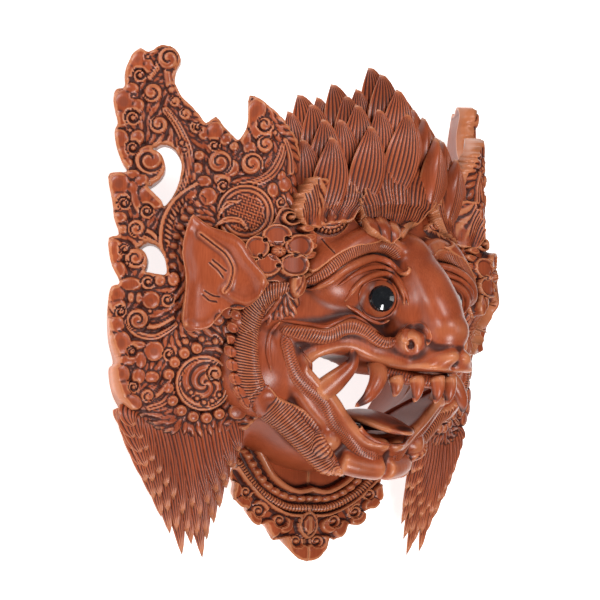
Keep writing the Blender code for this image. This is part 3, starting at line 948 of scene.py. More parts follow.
@dataclass
class Head:
    """The block of the face: skull, snout, brows, cheeks, lips and jaw, hollow behind."""

    skull_centre: tuple = (0, 8, 30)
    skull_radii: tuple = (162, 152, 128)
    crown_centre: tuple = (0, 72, 50)
    crown_radii: tuple = (140, 112, 88)
    rim_wall: float = 18.0
    face_wall: float = 30.0
    crest_wood: float = 24.0
    eye_centre: tuple = (43.5, 7, 151)
    eye_radius: float = 20.0
    nostril: tuple = (-37.5, -35, 186.5)
    nostril_radii: tuple = (5.5, 4, 6.5)
    nostril_way: tuple = (-0.75, -0.1, 0.65)
    rough_cut: float = 2.8
    fine_cut: float = 2.35
    polish: int = 4
    floor_size: float = 900.0
    mouth_span: tuple = (60, 260)
    mouth_half: tuple = ((0, -58), (34, -56), (66, -44), (92, -44), (98, -52), (84, -66),
                         (62, -82), (44, -98), (24, -108), (0, -111))

    def curve(self, points: Spots, width: float | Sequence[float],
              height: float | Sequence[float]) -> Form:
        """Lay a plain rounded bar through points."""
        return bar(through(points, 4), width, height)

    def near_forms(self) -> list[Form]:
        """Draw the forms of one side."""
        return [
            blob((108, -46, 62), (50, 52, 50)),
            blob((31, -32, 178), (13, 12, 15)),
            blob((15, -55, 188), (23, 9, 19)),
            blob((62, 26, 128), (46, 34, 30)),
            blob(self.eye_centre, self.eye_radius - 1),
            self.curve(((112, -50, 106), (118, -26, 110), (97, -25, 134), (72, -18, 147),
                        (48, -32, 156), (30, -40, 172)), 15, 7),
            self.curve(((104, -50, 112), (96, -40, 128), (74, -34, 142), (50, -44, 154),
                        (30, -50, 176), (14, -47, 202), (0, -42, 212)), 14, 9),
            self.curve(((106, -50, 112), (90, -66, 114), (72, -80, 117), (56, -95, 116),
                        (40, -108, 115), (24, -119, 117), (0, -122, 128)), 14, 10),
            self.curve(((118, -26, 108), (108, -55, 105), (86, -82, 105), (62, -102, 106),
                        (44, -114, 101), (26, -126, 105), (0, -131, 117)), 18, 9),
            self.curve(((44, -136, 103), (24, -141, 111), (0, -143, 118)), 22, 12),
            blob((58, -118, 104), (12, 11, 12), 3),
            self.curve(((114, -78, 78), (90, -96, 82), (62, -117, 84), (34, -138, 90)), 26, 15),
            self.curve(((118, 18, 122), (98, 36, 133), (81, 45, 141), (60, 58, 147), (40, 63, 150),
                        (22, 56, 154), (12, 44, 158)), (6, 16, 18, 18, 16, 16), 9),
        ]

    def middle_forms(self) -> list[Form]:
        """Draw the forms that cross the middle."""
        return [
            blob(self.skull_centre, self.skull_radii, 5),
            blob(self.crown_centre, self.crown_radii, 5),
            blob((0, -2, 152), (38, 42, 44)),
            blob((0, 36, 146), (24, 36, 32)),
            blob((0, -21, 195), (22, 20, 21)),
            self.curve(((0, 66, 138), (0, 46, 156), (0, 22, 173), (0, -4, 187), (0, -24, 194)),
                       (30, 42, 50, 52, 42), (14, 17, 20, 21, 20)),
            blob((0, -40, 168), (36, 16, 34)),
            blob((0, -122, 92), (50, 26, 28)),
        ]

    def hollow(self, centre: Spots, radii: Spots, kept: float) -> Form:
        """Draw the hollow behind one of the two domes."""
        wide, tall, high = radii
        inner = (wide - self.rim_wall - kept, tall - self.rim_wall - kept,
                 centre[2] + high - self.face_wall - kept)
        return blob((0, centre[1], 0), inner, 5)

    def mouth(self) -> Form:
        """Draw the open mouth, through to the hollow."""
        half = smooth_path(self.mouth_half, 3)
        return prism(list(half) + [(-x, y) for x, y in half[-2:0:-1]], *self.mouth_span)

    def carved(self) -> Form:
        """Carve the block."""
        near = joined(self.near_forms())
        forms = joined([mirrored(near)] + self.middle_forms())
        bmesh.ops.recalc_face_normals(forms, faces=forms.faces[:])
        block = settled(forms, [("REMESH", {"mode": "VOXEL", "voxel_size": self.rough_cut})])
        for tool in (self.hollow(self.skull_centre, self.skull_radii, 0), self.mouth(),
                     self.hollow(self.crown_centre, self.crown_radii, self.crest_wood)):
            block = cut(block, tool)
        block = cut(block, mirrored(blob(self.nostril, self.nostril_radii, 3, self.nostril_way)))
        block = settled(block, [("REMESH", {"mode": "VOXEL", "voxel_size": self.fine_cut})])
        evened(block, self.polish)
        floor = bmesh.new()
        bmesh.ops.create_cube(floor, size=self.floor_size,
                              matrix=Matrix.Translation((0, 0, -self.floor_size / 2)))
        return cut(block, floor)


@dataclass
class Wing:
    """A pierced side wing: one leaning board with flame leaves, scrolls, discs and beads."""

    cut_x: float = 0.95
    cut_y: float = 1.3
    ground: float = -5.0
    stroke_pitch: float = 6.6
    stroke_field: tuple = (104, 300, 40, 430)
    stroke_size: tuple = (9.5, 3.3)
    lobe_growth: float = 1.12
    depth: tuple = (24, 37)
    depth_at: tuple = (195, 235)
    top_share: float = 0.62
    thin_from: tuple = (110, 220)
    outline: tuple = (
        (224, 223), (229, 226), (233, 223), (236, 215), (238, 208), (239, 200), (239, 191),
        (244, 189), (246, 182), (245, 170), (243, 158), (245, 153), (244, 139), (241, 126),
        (237, 116), (248, 114), (248, 102), (246, 88), (245, 74), (242, 60), (248, 57), (248, 46),
        (246, 32), (241, 17), (246, 14), (248, 1), (247, -16), (244, -34), (238, -51), (241, -56),
        (240, -65), (236, -78), (230, -88), (222, -96), (200, -112), (170, -122), (140, -122),
        (112, -100), (104, -60), (102, -10), (102, 40), (106, 100), (116, 140), (138, 165),
        (150, 176), (161, 184), (162, 162), (164, 151), (168, 144), (172, 149), (177, 156),
        (182, 165), (188, 159), (192, 166), (197, 174), (203, 182), (206, 190), (208, 197),
        (207, 207), (204, 216), (208, 226), (216, 229))
    upper_hole: tuple = (
        (151.8, 148.7), (156.2, 144.9), (163.2, 142.3), (171.5, 145.5), (177.9, 153.2),
        (181.4, 163.4), (180.5, 174.2), (177.3, 186.3), (172.2, 196.5), (164.5, 205.8),
        (161.3, 200.4), (154.3, 193.3), (147.3, 185.7), (152.4, 181.9), (158.8, 176.8),
        (163.2, 170.4), (164.5, 163.4), (162.6, 156.4), (158.1, 151.9))
    lower_hole: tuple = (
        (137.4, 247.6), (142.2, 243.2), (147.9, 241.3), (154.3, 243.2), (159.4, 248.3),
        (163.2, 254.6), (165.8, 262.9), (166.4, 273.8), (158.8, 273.8), (152.4, 272.5),
        (144.1, 270.6), (146, 264.2), (146.7, 256.6), (144.7, 252.1), (140.9, 248.9))
    lobes: tuple = (
        (138, 60, 12, 9, 50), (129, 70, 7, 7), (148, 65, 6, 9, 20), (124, 80, 6, 6),
        (124, 102, 11, 12), (137, 106, 8, 7, 50), (121, 118, 9, 9), (131, 88, 8, 6),
        (120, 140, 9, 11), (137, 137, 8, 7, 50), (122, 153, 8, 8),
        (126, 163, 7, 6), (133, 174, 8, 5), (141, 180, 8, 6, 30),
        (119, 184, 11, 11), (133, 187, 6, 7), (120, 200, 10, 10), (147, 195, 9, 10),
        (156, 202, 8, 7), (136, 200, 5, 14, 15), (120, 217, 7, 6), (123, 229, 6, 5),
        (114, 251, 9, 12), (118, 270, 8, 9), (130, 284, 12, 7), (116, 294, 9, 9),
        (151, 300, 9, 9), (131, 297, 4, 6), (139, 298, 4, 6), (118, 306, 8, 8), (160, 280, 6, 6),
        (117, 324, 8, 8), (121, 343, 10, 12), (137, 345, 10, 5), (154, 351, 10, 10),
        (141, 360, 6, 9), (128, 360, 9, 6), (121, 374, 9, 10), (139, 376, 7, 8), (152, 377, 8, 6),
        (123, 389, 9, 10), (133, 402, 10, 8, -30),
        (215, 131, 9, 10, -30), (226, 139, 7, 6, 40), (204, 133, 6, 7), (234, 146, 5, 5),
        (199, 155, 6, 5), (197, 168, 6, 6), (204, 181, 8, 6), (208, 196, 9, 9, 30),
        (190, 192, 7, 7), (191, 176, 6, 8), (231, 168, 9, 8, 40), (222, 178, 9, 7),
        (255, 112, 10, 16, -30), (262, 128, 12, 12), (246, 138, 6, 9), (250, 148, 7, 7),
        (285, 184, 7, 8), (273, 190, 6, 8), (282, 176, 5, 6),
        (228, 312, 8, 7, 40), (238, 322, 8, 7), (246, 334, 8, 7), (218, 320, 7, 6),
        (250, 350, 8, 8), (252, 366, 8, 8), (250, 382, 8, 8), (246, 398, 8, 8), (238, 412, 9, 8))
    volutes: tuple = (
        (168.6, 58.6, 12, 1.4, 0.1, -1, 8), (152.3, 92.4, 10.4, 1.4, 0.6, -1, 7),
        (158.7, 124.3, 10, 1.4, 0.4, -1, 7), (149.2, 159.5, 15.2, 1.3, 0.2, 1, 8),
        (135.2, 257.8, 11.6, 1.8, 0.3, 1, 7), (136.5, 228.5, 10, 1.7, 0.5, 1, 6.5),
        (137.7, 319.8, 12, 1.7, 0.6, 1, 7), (219.8, 162.1, 13, 1.7, 0.1, -1, 6.5),
        (252.1, 163.7, 12.2, 1.6, 0.2, -1, 7.5), (265.4, 143.9, 9.5, 1.4, 0.2, -1, 7),
        (264.6, 124, 8, 1.2, 0.3, 1, 6), (148, 396, 8, 1.5, 0.2, 1, 6),
        (175, 101, 6.5, 1.3, 0.2, -1, 6), (185.5, 113.5, 7, 1.3, 0.2, -1, 6),
        (196, 127, 7, 1.3, 0.2, -1, 6))
    eyelets: tuple = (
        (139.6, 74.5, 7), (132.7, 117.2, 8), (132.6, 147.3, 7.4), (123.8, 202.8, 7),
        (146.6, 210.7, 7.2), (124.4, 249.4, 6), (147.9, 281.8, 7.6), (167.6, 300, 7.2),
        (120.4, 311.8, 6), (131.9, 352, 6), (134.3, 387, 6.2), (169.5, 354.8, 7),
        (214, 145.4, 6), (223.1, 185.3, 6.6), (282, 201.9, 6), (197, 126.5, 5), (205.7, 417.7, 6),
        (180, 410, 6.5))
    beads: tuple = (
        (147.5, 56.7, 2.6), (133.2, 96.2, 2.2), (129.8, 129.9, 2.2), (182.1, 142.3, 3.4),
        (184.9, 149.4, 2.7), (150, 311, 2.6), (127.3, 263, 2.4), (275.4, 132.2, 3), (186, 342, 4),
        (202, 340, 4), (216, 342, 4), (228, 347, 4), (171.5, 89, 4.2))
    ribbons: tuple = (
        (((150, 77), (154.8, 70.7), (160, 62)), (6, 9), 6.5, 2),
        (((167, 70), (167.6, 76), (169, 84)), 9, 5.5, 0),
        (((166, 110), (174, 120), (180, 130), (187, 146), (190, 160), (188, 178), (181, 196),
          (172, 208)), (9, 10, 11, 9, 9, 8), 6, 2),
        (((134, 229), (147.9, 231), (154.3, 235.5), (160, 242)), (5, 6), 6.5, 0),
        (((136, 236), (146, 238), (156, 244), (161, 250)), (7, 5), 5, 1),
        (((138, 322), (149, 326.5), (159, 325.5), (173, 318)), (6, 6, 4), 7.5, 0),
        (((127, 322), (133.3, 331), (142.8, 336), (155.6, 337), (168, 331), (176, 325)),
         (8, 9, 8, 6), 5.5, 1),
        (((149, 397), (155, 396.5), (162, 391), (170.3, 380)), (5, 6, 4), 6.5, 0),
        (((150, 408), (165, 402), (176, 385), (180, 366)), (8, 9, 7), 5, 1),
        (((196.4, 184), (180.4, 194.6), (169.6, 207), (162.8, 221.4), (160.5, 239.3),
          (163, 257), (167, 274)), 5.2, 8, 0),
        (((240, 185), (256, 182), (272, 173), (281, 158), (284, 146)), (6, 10, 12, 12, 8), 6, 2),
        (((286, 140), (291, 156), (292, 172)), (6, 8), 5.5, 1))
    saw: tuple = ((192, 192), (181, 201), (173, 213), (168, 228), (167, 243))
    plates: tuple = ((202, 200), (190, 210), (181, 224), (175, 240), (172.6, 255), (173, 270))
    plate_end: tuple = (173.4, 279, 7, 8, 0, 6)
    disc: tuple = (245.5, 213.0, 30.0)
    disc_leaves: tuple = ((((219, 214), (228, 204), (240, 202)), (3, 9, 2), 9, 1),
                          (((216, 226), (226, 220), (240, 221), (248, 230)), (3, 9, 8, 2), 9.4, 1))
    medallion: tuple = (203.0, 383.0, 29.0)
    medallion_curl: tuple = (214, 372, 9, 1.6, 0.3, 1, 11)
    medallion_beads: tuple = ((190, 392), (196, 398), (203, 402), (211, 400), (218, 394))

    def ornament(self, spots: np.ndarray) -> np.ndarray:
        """Work out the relief's heights.

        Args:
            spots: where the board's places show in the photograph.

        Returns:
            The height over the board's ground at each.
        """
        relief = Relief(spots)
        draw = np.random.default_rng(SEED)
        left, right, top, bottom = self.stroke_field
        for row, y in enumerate(np.arange(top, bottom, self.stroke_pitch)):
            for x in np.arange(left + 4 * (row % 2), right, self.stroke_pitch * 1.3):
                dx, dy = draw.uniform(-2, 2, 2)
                turn = 90 + 55 * math.sin(x / 15 + 0.6) + 40 * math.cos(y / 19)
                relief.lobe(x + dx, y + dy, *self.stroke_size, turn, 2.6)
        for x, y, wide, tall, *turn in self.lobes:
            relief.lobe(x, y, wide * self.lobe_growth, tall * self.lobe_growth, *turn)
        relief.each(relief.ribbon, self.ribbons)
        relief.ribbon(self.saw, 9, 4.5, 0, 5.0, 0.9, 3.0)
        relief.ribbon(self.plates, 9.5, 4, 0, 10.0, 0.0, 3.0)
        relief.lobe(*self.plate_end)
        for carve, rows in ((relief.volute, self.volutes), (relief.eyelet, self.eyelets),
                            (relief.bead, self.beads)):
            relief.each(carve, rows)
        self.carve_disc(relief)
        self.carve_medallion(relief)
        return relief.height

    def carve_disc(self, relief: Relief) -> None:
        """Carve the scaled disc over the ear: a double rim round a field of small scales."""
        x, y, radius = self.disc
        far, _ = relief.polar(x, y)
        share = far / radius
        field_x, field_y = (relief.spots - (x, y)).T
        scale = np.abs(np.sin(np.pi * (field_x + 0.35 * field_y) / 3.6)) \
            * np.abs(np.sin(np.pi * (field_y - 0.35 * field_x) / 3.2))
        body = 5 + 2.4 * (1 - share ** 2) + np.where(share < 0.62, 1.8 * scale ** 0.6 - 1.6, 0)
        rims = np.abs(np.cos(np.pi * share * 6)) ** 8 * (share > 0.62) * 2.2
        edge = clamp((radius - far) / 2) ** 0.6
        relief.lay(far < radius, (body - rims) * edge)
        relief.each(relief.ribbon, self.disc_leaves)

    def carve_medallion(self, relief: Relief) -> None:
        """Carve the big rosette under the ear: rims round a swirl of leaves."""
        x, y, radius = self.medallion
        far, angle = relief.polar(x, y)
        share = far / radius
        swirl = np.abs(np.cos(np.pi * (3.2 * share + 1.5 * angle / np.pi))) ** 5
        body = 7 + 4 * (1 - share ** 2) - 2.4 * swirl * (share < 0.8)
        rims = (np.abs(np.cos(np.pi * share * 7)) ** 8) * (share > 0.74) * 2.6
        edge = clamp((radius - far) / 2) ** 0.6
        relief.lay(far < radius, (body - rims) * edge)
        relief.volute(*self.medallion_curl)
        for k, (bead_x, bead_y) in enumerate(self.medallion_beads):
            relief.bead(bead_x, bead_y, 3.6, 9.5 + 0.2 * k)
        for turn in np.radians(np.arange(100, 300, 22)):
            relief.lobe(x + 35 * math.cos(turn), y - 35 * math.sin(turn), 6.5, 6.5, 0, 6)

    def board(self, sight: Sight) -> Form:
        """Cut the board, on the mask's left side."""
        sheet = Sheet()
        outer = smooth_path(self.outline, 3, True)
        holes = [sheet.under(sight, smooth_path(hole, 3, True))
                 for hole in (self.upper_hole, self.lower_hole)]
        bm = tray(outer, holes, (self.cut_x, self.cut_y), 1.5)
        flat = flat_spots(bm)
        points, ups = sheet.points(*flat.T), sheet.ups(*flat.T)
        heights = self.ornament(sight.seen(points * (-1, 1, 1))) + self.ground
        front = points + ups * heights[:, None]
        lean = sheet.slope(flat[:, 1])
        square = np.stack((np.sin(lean), np.zeros(len(lean)), np.cos(lean)), -1)
        depth = np.interp(flat[:, 0], self.depth_at, self.depth)
        depth = depth * np.interp(flat[:, 1], self.thin_from, (1.0, self.top_share))
        floor_depth = points[:, 2] / square[:, 2]
        back = points - square * np.minimum(depth, floor_depth)[:, None]
        return walled(bm, front, back)

    def build(self, bench: Bench) -> None:
        """Make both wings."""
        left = self.board(bench.sight)
        right = mirrored(left.copy(), keep=False)
        bench.wooden("wing_left", left)
        bench.wooden("wing_right", right)


@dataclass
class Crest:
    """The crest: four rows of pointed leaves with cuts that run to their tips."""

    rows: tuple = (((0, 184, 148), (45, 167, 144), (86, 153, 134)),
                   ((0, 207, 137), (46, 188, 128), (82, 171, 120)),
                   ((0, 224, 117), (46, 198, 114), (80, 187, 103)),
                   ((0, 232.5, 102), (49, 210, 100), (82, 197, 89)))
    between: tuple = ((23, 186, 134), (66, 172, 126), (24, 208, 108), (66, 196, 98),
                      (108, 150, 118), (104, 178, 98))
    leaf_size: tuple = (43.0, 13.0)
    between_size: tuple = (36.0, 12.0)
    furrows: int = 11
    furrow_depth: float = 1.5
    keel: float = 0.45

    def leaves(self) -> list[Form]:
        """Carve the leaves of one side, and those of the middle."""
        middle, near = [], []
        for row, tips in enumerate(self.rows):
            for column, (x, y, z) in enumerate(tips):
                base = (-x * 0.9 - 6, y - 70 + 4 * column, z - 12 + 8 * row)
                run = Run(bent(base, (-x, y, z), UP, 5))
                made = blade(run, *self.leaf_size, self.furrows, self.furrow_depth, self.keel)
                (near if x else middle).append(made)
        for x, y, z in self.between:
            run = Run(bent((-x * 0.9, y - 56, z - 4), (-x, y, z), UP, 4))
            near.append(blade(run, *self.between_size, self.furrows, self.furrow_depth, self.keel))
        return [mirrored(joined(near))] + middle

    def build(self, bench: Bench) -> None:
        """Make the crest."""
        bench.wooden("crest_leaves", joined(self.leaves()))


@dataclass
class Tufts:
    """The fur that falls from each wing's foot: three layers of long striped locks."""

    top: tuple = ((218, -94), (200, -100), (168, -104), (130, -96))
    tips: tuple = ((223, -114), (215, -130), (208, -144), (202, -157), (193, -172), (184, -187),
                   (173, -202), (160, -221), (150, -212), (138, -224), (133, -208), (127, -193),
                   (124, -179), (121, -160), (118, -142))
    layers: tuple = ((1.0, -9.0), (0.88, -5.0), (0.7, -2.0))
    width: float = 25.0
    root_depth: float = 12.0
    thick: float = 7.5
    furrows: int = 7
    furrow_depth: float = 1.1
    root: float = 0.36
    steps: int = 13
    blunt: float = 0.75

    def locks(self) -> list[Form]:
        """Carve one side's locks."""
        sheet = Sheet()
        top = smooth_path(self.top, 8)
        tips = smooth_path(self.tips, 2)
        made = []
        for layer, (reach, lift) in enumerate(self.layers):
            chosen = tips[layer % 2::2]
            for k, tip in enumerate(chosen):
                share = k / (len(chosen) - 1)
                base = top[round(share * (len(top) - 1))]
                end = base + (tip - base) * reach
                middle = (base + end) / 2
                up = sheet.ups(*middle[:, None])[0] * (-1, 1, 1)
                ends = [Sheet(lift=lift - sunk).points(*spot[:, None])[0] * (-1, 1, 1)
                        for spot, sunk in ((base, self.root_depth), (end, 0.0))]
                run = Run(bent(*ends, up, 2, 2.5 * math.sin(7 * share + layer)), up)
                made.append(blade(run, self.width, self.thick, self.furrows, self.furrow_depth,
                                  0, True, self.root, self.steps, self.blunt))
        return made

    def build(self, bench: Bench) -> None:
        """Make both tufts."""
        bench.wooden("fur_tufts", mirrored(joined(self.locks())))


@dataclass
class Mouth:
    """Tongue, teeth and the two tusks of each side."""

    teeth: tuple = ((8, -86, 188), (22, -85, 176), (34, -80, 162))
    tooth_top: float = -61.0
    tooth_size: tuple = ((15, 13, 9, 2), (8, 7, 5, 1.5))
    gum: tuple = ((-50, -52, 146), (-36, -59, 160), (-20, -64, 176), (-8, -66, 186), (0, -66, 188))
    tusks: tuple = (
        (((-40, -48, 148), (-52, -64, 160), (-64, -80, 160), (-74, -90, 152)), (19, 17, 13, 3)),
        (((-82, -78, 114), (-73, -64, 130), (-68, -50, 144), (-74, -36, 149)), (24, 22, 15, 4)))
    tusk_height: tuple = (9, 8, 6, 1.5)
    tongue_path: tuple = ((0, -92, 88), (0, -98, 112), (0, -106, 134), (0, -112, 152))
    tongue_size: tuple = ((66, 60, 46, 30), (7, 6, 5, 4))

    def near_parts(self) -> list[Form]:
        """Carve one side's teeth and tusks."""
        made = [bar(Run(bent((-x, self.tooth_top, z + 2), (-x, tip_y, z), UP, 3)),
                    *self.tooth_size) for x, tip_y, z in self.teeth]
        made.append(bar(through(self.gum, 5, (0, -0.2, 1)), 13, 6, 2.6, 0.5, 0.5))
        return made + [bar(through(path, 6), width, self.tusk_height)
                       for path, width in self.tusks]

    def tongue(self) -> Form:
        """Carve the tongue, a scoop with a rounded tip."""
        return bar(through(self.tongue_path, 5, (0, 1, 0)), *self.tongue_size, ends=(0.05, 0.2))

    def build(self, bench: Bench) -> None:
        """Make the mouth's parts."""
        bench.wooden("teeth_tusks", mirrored(joined(self.near_parts())))
        bench.wooden("tongue", self.tongue())


class Drawn(Protocol):
    """Something that has an outline in the photograph and can be carved there."""

    outline: Spots

    def carve(self, relief: Relief) -> None:
        """Carve it."""


@dataclass
class Laid:
    """Low relief laid on the carving from its outline in the photograph."""

    drawn: Drawn
    step: float = 0.9
    sunk: float = 5.0
    ground: float = -1.2
    soft: int = 6

    def form(self, sight: Sight, tree: BVHTree) -> Form:
        """Cut the relief.

        Args:
            sight: the photograph's view.
            tree: the surface that it lies on.

        Returns:
            The relief, closed behind.
        """
        bm = tray(smooth_path(self.drawn.outline, 2, True), (), (self.step, self.step),
                  self.step * 1.3)
        spots = flat_spots(bm)
        relief = Relief(spots)
        self.drawn.carve(relief)
        for vert, place in zip(bm.verts, sight.onto(tree, spots)[0]):
            vert.co = place
        evened(bm, self.soft)
        bm.normal_update()
        places = np.array([v.co[:] for v in bm.verts])
        ups = np.array([v.normal[:] for v in bm.verts])
        ups = ups * np.sign(ups @ sight.axes()[2])[:, None]
        return walled(bm, places + ups * (relief.height + self.ground)[:, None],
                      places - ups * self.sunk)


@dataclass
class Ear:
    """A pointed ear: a broad smooth rim round a shallow hollow with small cuts."""

    outline: tuple = (
        (193, 214), (183, 235), (180, 256), (184, 277), (181.5, 297), (178.5, 317), (183, 331),
        (198, 330), (211, 325), (217, 315), (229, 306), (249, 304), (262, 291), (270, 279),
        (261, 268), (250, 246), (234, 233), (211, 226))
    rims: tuple = (
        (((193, 218), (187, 238), (184.5, 257), (188.5, 277), (186, 297), (184, 318)),
         6.5, 4.5),
        (((193, 219), (206, 230), (222, 239), (236, 246), (247, 262), (262, 277)),
         7.5, 5.0),
        (((201, 236), (214, 246), (226, 256), (233, 270), (230, 281), (224, 287)),
         3.0, 3.0),
        (((224, 287), (234, 294), (246, 297), (260, 290)), 4.5, 3.0),
        (((184, 322), (197, 325), (210, 321), (220, 310)), 4.5, 3.0))
    cuts: tuple = (
        ((210, 264), (217, 270), (223, 277)), ((213, 261), (219, 266), (226, 272)),
        ((205, 289), (212, 293), (219, 294)), ((203, 293), (209, 298), (216, 299)))
    folds: tuple = ((222, 316, 9, 8, 0, 14), (238, 306, 9, 6, 0, 14))
    bowl: tuple = (207, 276)
    bowl_radii: tuple = (24, 48)

    def carve(self, relief: Relief) -> None:
        """Carve the ear."""
        bowl = ((relief.spots - self.bowl) / self.bowl_radii) ** 2
        relief.height += 11.5 - 3.5 * np.exp(-bowl.sum(axis=1))
        relief.each(relief.swell, self.rims)
        relief.line(self.rims[2][0], 1.4, 2.2)
        for path in self.cuts:
            relief.line(path, 1.1, 1.5)
        relief.each(relief.lobe, self.folds)


@dataclass
class Flower:
    """Five cupped petals round a button, with a loop above, a drop below and a beaded column."""

    outline: tuple = (
        (273, 222), (280, 208), (293, 210), (300, 224), (312, 232), (313, 256), (303, 262),
        (302, 290), (292, 300), (283, 290), (276, 281), (256, 280), (250, 266), (243, 250),
        (250, 238), (261, 232))
    petals: tuple = ((273.5, 237), (291.5, 247), (287, 266), (266, 266), (256.5, 249))
    pits: tuple = ((264.5, 241.5), (282, 240), (288, 255.5), (275.5, 267), (260, 257.5))
    button: tuple = (275.4, 252.4)
    column: tuple = ((301, 229), (303, 238), (304, 247), (304, 256))
    loop: tuple = (287, 218, 8, 10)
    drop: tuple = (292, 283, 6.5, 15, 8, 11)
    drop_cut: tuple = ((293, 272), (292, 283), (289, 293))

    def carve(self, relief: Relief) -> None:
        """Carve the flower."""
        relief.height += 3
        for k, (x, y) in enumerate(self.column):
            relief.lobe(x, y, 8.5, 5, 5 * k, 9)
        relief.eyelet(*self.loop)
        relief.lobe(*self.drop)
        relief.line(self.drop_cut, 1.0, 1.2)
        for x, y in self.petals:
            far, _ = relief.polar(x, y)
            cup = 11.5 + 3.2 * clamp((far - 7.5) / 3) ** 2
            relief.lay(far < 12, cup * clamp((12.2 - far) / 1.4) ** 0.4)
        for x, y in self.pits:
            relief.lay(relief.polar(x, y)[0] < 2.3, 8.5)
        relief.bead(*self.button, 7.5, 17)
        for turn in np.radians(np.arange(0, 180, 45)):
            ray = 6.5 * np.array((math.cos(turn), math.sin(turn)))
            relief.line((ray + self.button, self.button, self.button - ray), 0.7, 0.7)


@dataclass
class Ruff:
    """The cheek's ruff and the beard: bands of fine strands with flame tips outside."""

    outline: tuple = (
        (266, 276), (286, 280), (297, 290), (276, 303), (263, 322), (260, 348), (264, 374),
        (278, 396), (296, 404), (312, 416), (324, 434), (338, 456), (345, 474), (338, 484),
        (322, 474), (300, 450), (280, 430), (262, 416), (247, 408), (236, 392), (229, 368),
        (226, 340), (227, 316), (240, 296), (254, 284))
    band: tuple = ((286, 285), (270, 292), (256, 304), (248, 328), (246, 350), (249, 374),
                   (257, 394), (272, 408))
    beard: tuple = ((268, 402), (284, 413), (299, 428), (312, 444), (325, 460), (338, 476))
    flames: tuple = ((262, 281), (250, 290), (241, 301), (235, 313), (232, 326), (231, 339),
                     (232, 352), (234, 365), (237, 378), (241, 390), (247, 400))

    def carve(self, relief: Relief) -> None:
        """Carve the bands."""
        for x, y in self.flames:
            relief.lobe(x, y, 9, 6, 150, 6)
        relief.ribbon(self.band, (14, 22, 25, 25, 26, 26, 22), 7, 0, 2.6, 3.0, 1.5)
        relief.ribbon(self.beard, (36, 36, 34, 30, 24, 14), 8, 0, 3.0, 1.6, 1.6)


@dataclass
class Fringe:
    """A fan of fine wavy strands that stands over the brow."""

    foot: tuple
    tips: tuple
    root: float = 70.0
    strands: float = 105.0
    lean: float = 7.0

    @property
    def outline(self) -> list[tuple[float, float]]:
        """Draw a scalloped outline round the fan."""
        foot = np.mean(self.foot, axis=0)
        tips = [np.array(tip, float) for tip in self.tips]
        made = [tuple(tips[0])]
        for tip, following in zip(tips, tips[1:]):
            made.append(tuple((tip + following) / 2 * 0.97 + foot * 0.03))
            made.append(tuple(following + 4 * unit(following - foot)))
        return made + [tuple(p + (0, 5)) for p in np.array(self.foot)[::-1]]

    def carve(self, relief: Relief) -> None:
        """Carve wavy strands that spread from the foot, gathered in locks."""
        away = relief.spots - np.mean(self.foot, axis=0) - (0, self.root)
        far = np.linalg.norm(away, axis=1)
        turn = np.arctan2(away[:, 0], -away[:, 1]) + 0.014 * np.sin(far / 8)
        strand = np.abs(np.sin(turn * self.strands)) ** 0.7 * clamp((far - self.root) / 12)
        lock = np.abs(np.sin(turn * self.strands / 5))
        reach = clamp((far - self.root) / (far.max() - self.root))
        relief.height += 6 + 2.2 * lock + 2.4 * strand + self.lean * reach ** 1.5


@dataclass
class BrowPlate:
    """The plain winged plate over the brow, with its oval jewel."""

    outline: tuple = (
        (303, 262), (299, 246), (301, 234), (306, 221), (313, 226), (318, 218), (330, 212),
        (342, 217), (349, 214), (357, 222), (368, 217), (377, 224), (386, 236), (378, 244),
        (360, 246), (342, 254), (322, 268), (308, 279))
    plate: tuple = (
        (304, 256), (303, 240), (306.5, 222.5), (313, 232), (329, 238), (343, 230), (349, 216),
        (360, 228), (376, 236), (384, 240), (350, 252), (312, 274))
    scratch: tuple = ((321, 241), (327, 248), (334, 255))
    jewels: tuple = ((329, 221.5, 14, 10), (366, 223, 9, 8))

    def carve(self, relief: Relief) -> None:
        """Carve the plate and the jewels."""
        plate = smooth_path(self.plate, 3, True)
        off, _ = measure(relief.spots, np.vstack((plate, plate[:1])))
        within = inside(relief.spots, plate)
        relief.height = np.where(within, 5 * clamp(np.abs(off) / 1.5) ** 0.6, 0)
        relief.line(self.scratch, 0.9, 1.2)
        for x, y, wide, tall in self.jewels:
            rel = (relief.spots - (x, y)) / (wide, tall)
            share = np.hypot(*rel.T)
            rings = np.abs(np.cos(np.pi * share * 2.6)) ** 6
            dome = 7 + 4 * (1 - share ** 2) - 1.6 * rings * (share > 0.15)
            relief.lay(share < 1, dome)
        x, y = self.jewels[0][:2]
        for turn in np.radians(np.arange(10, 171, 16)):
            relief.bead(x + 15 * math.cos(turn), y + 11.5 * math.sin(turn), 2.1, 6.5)


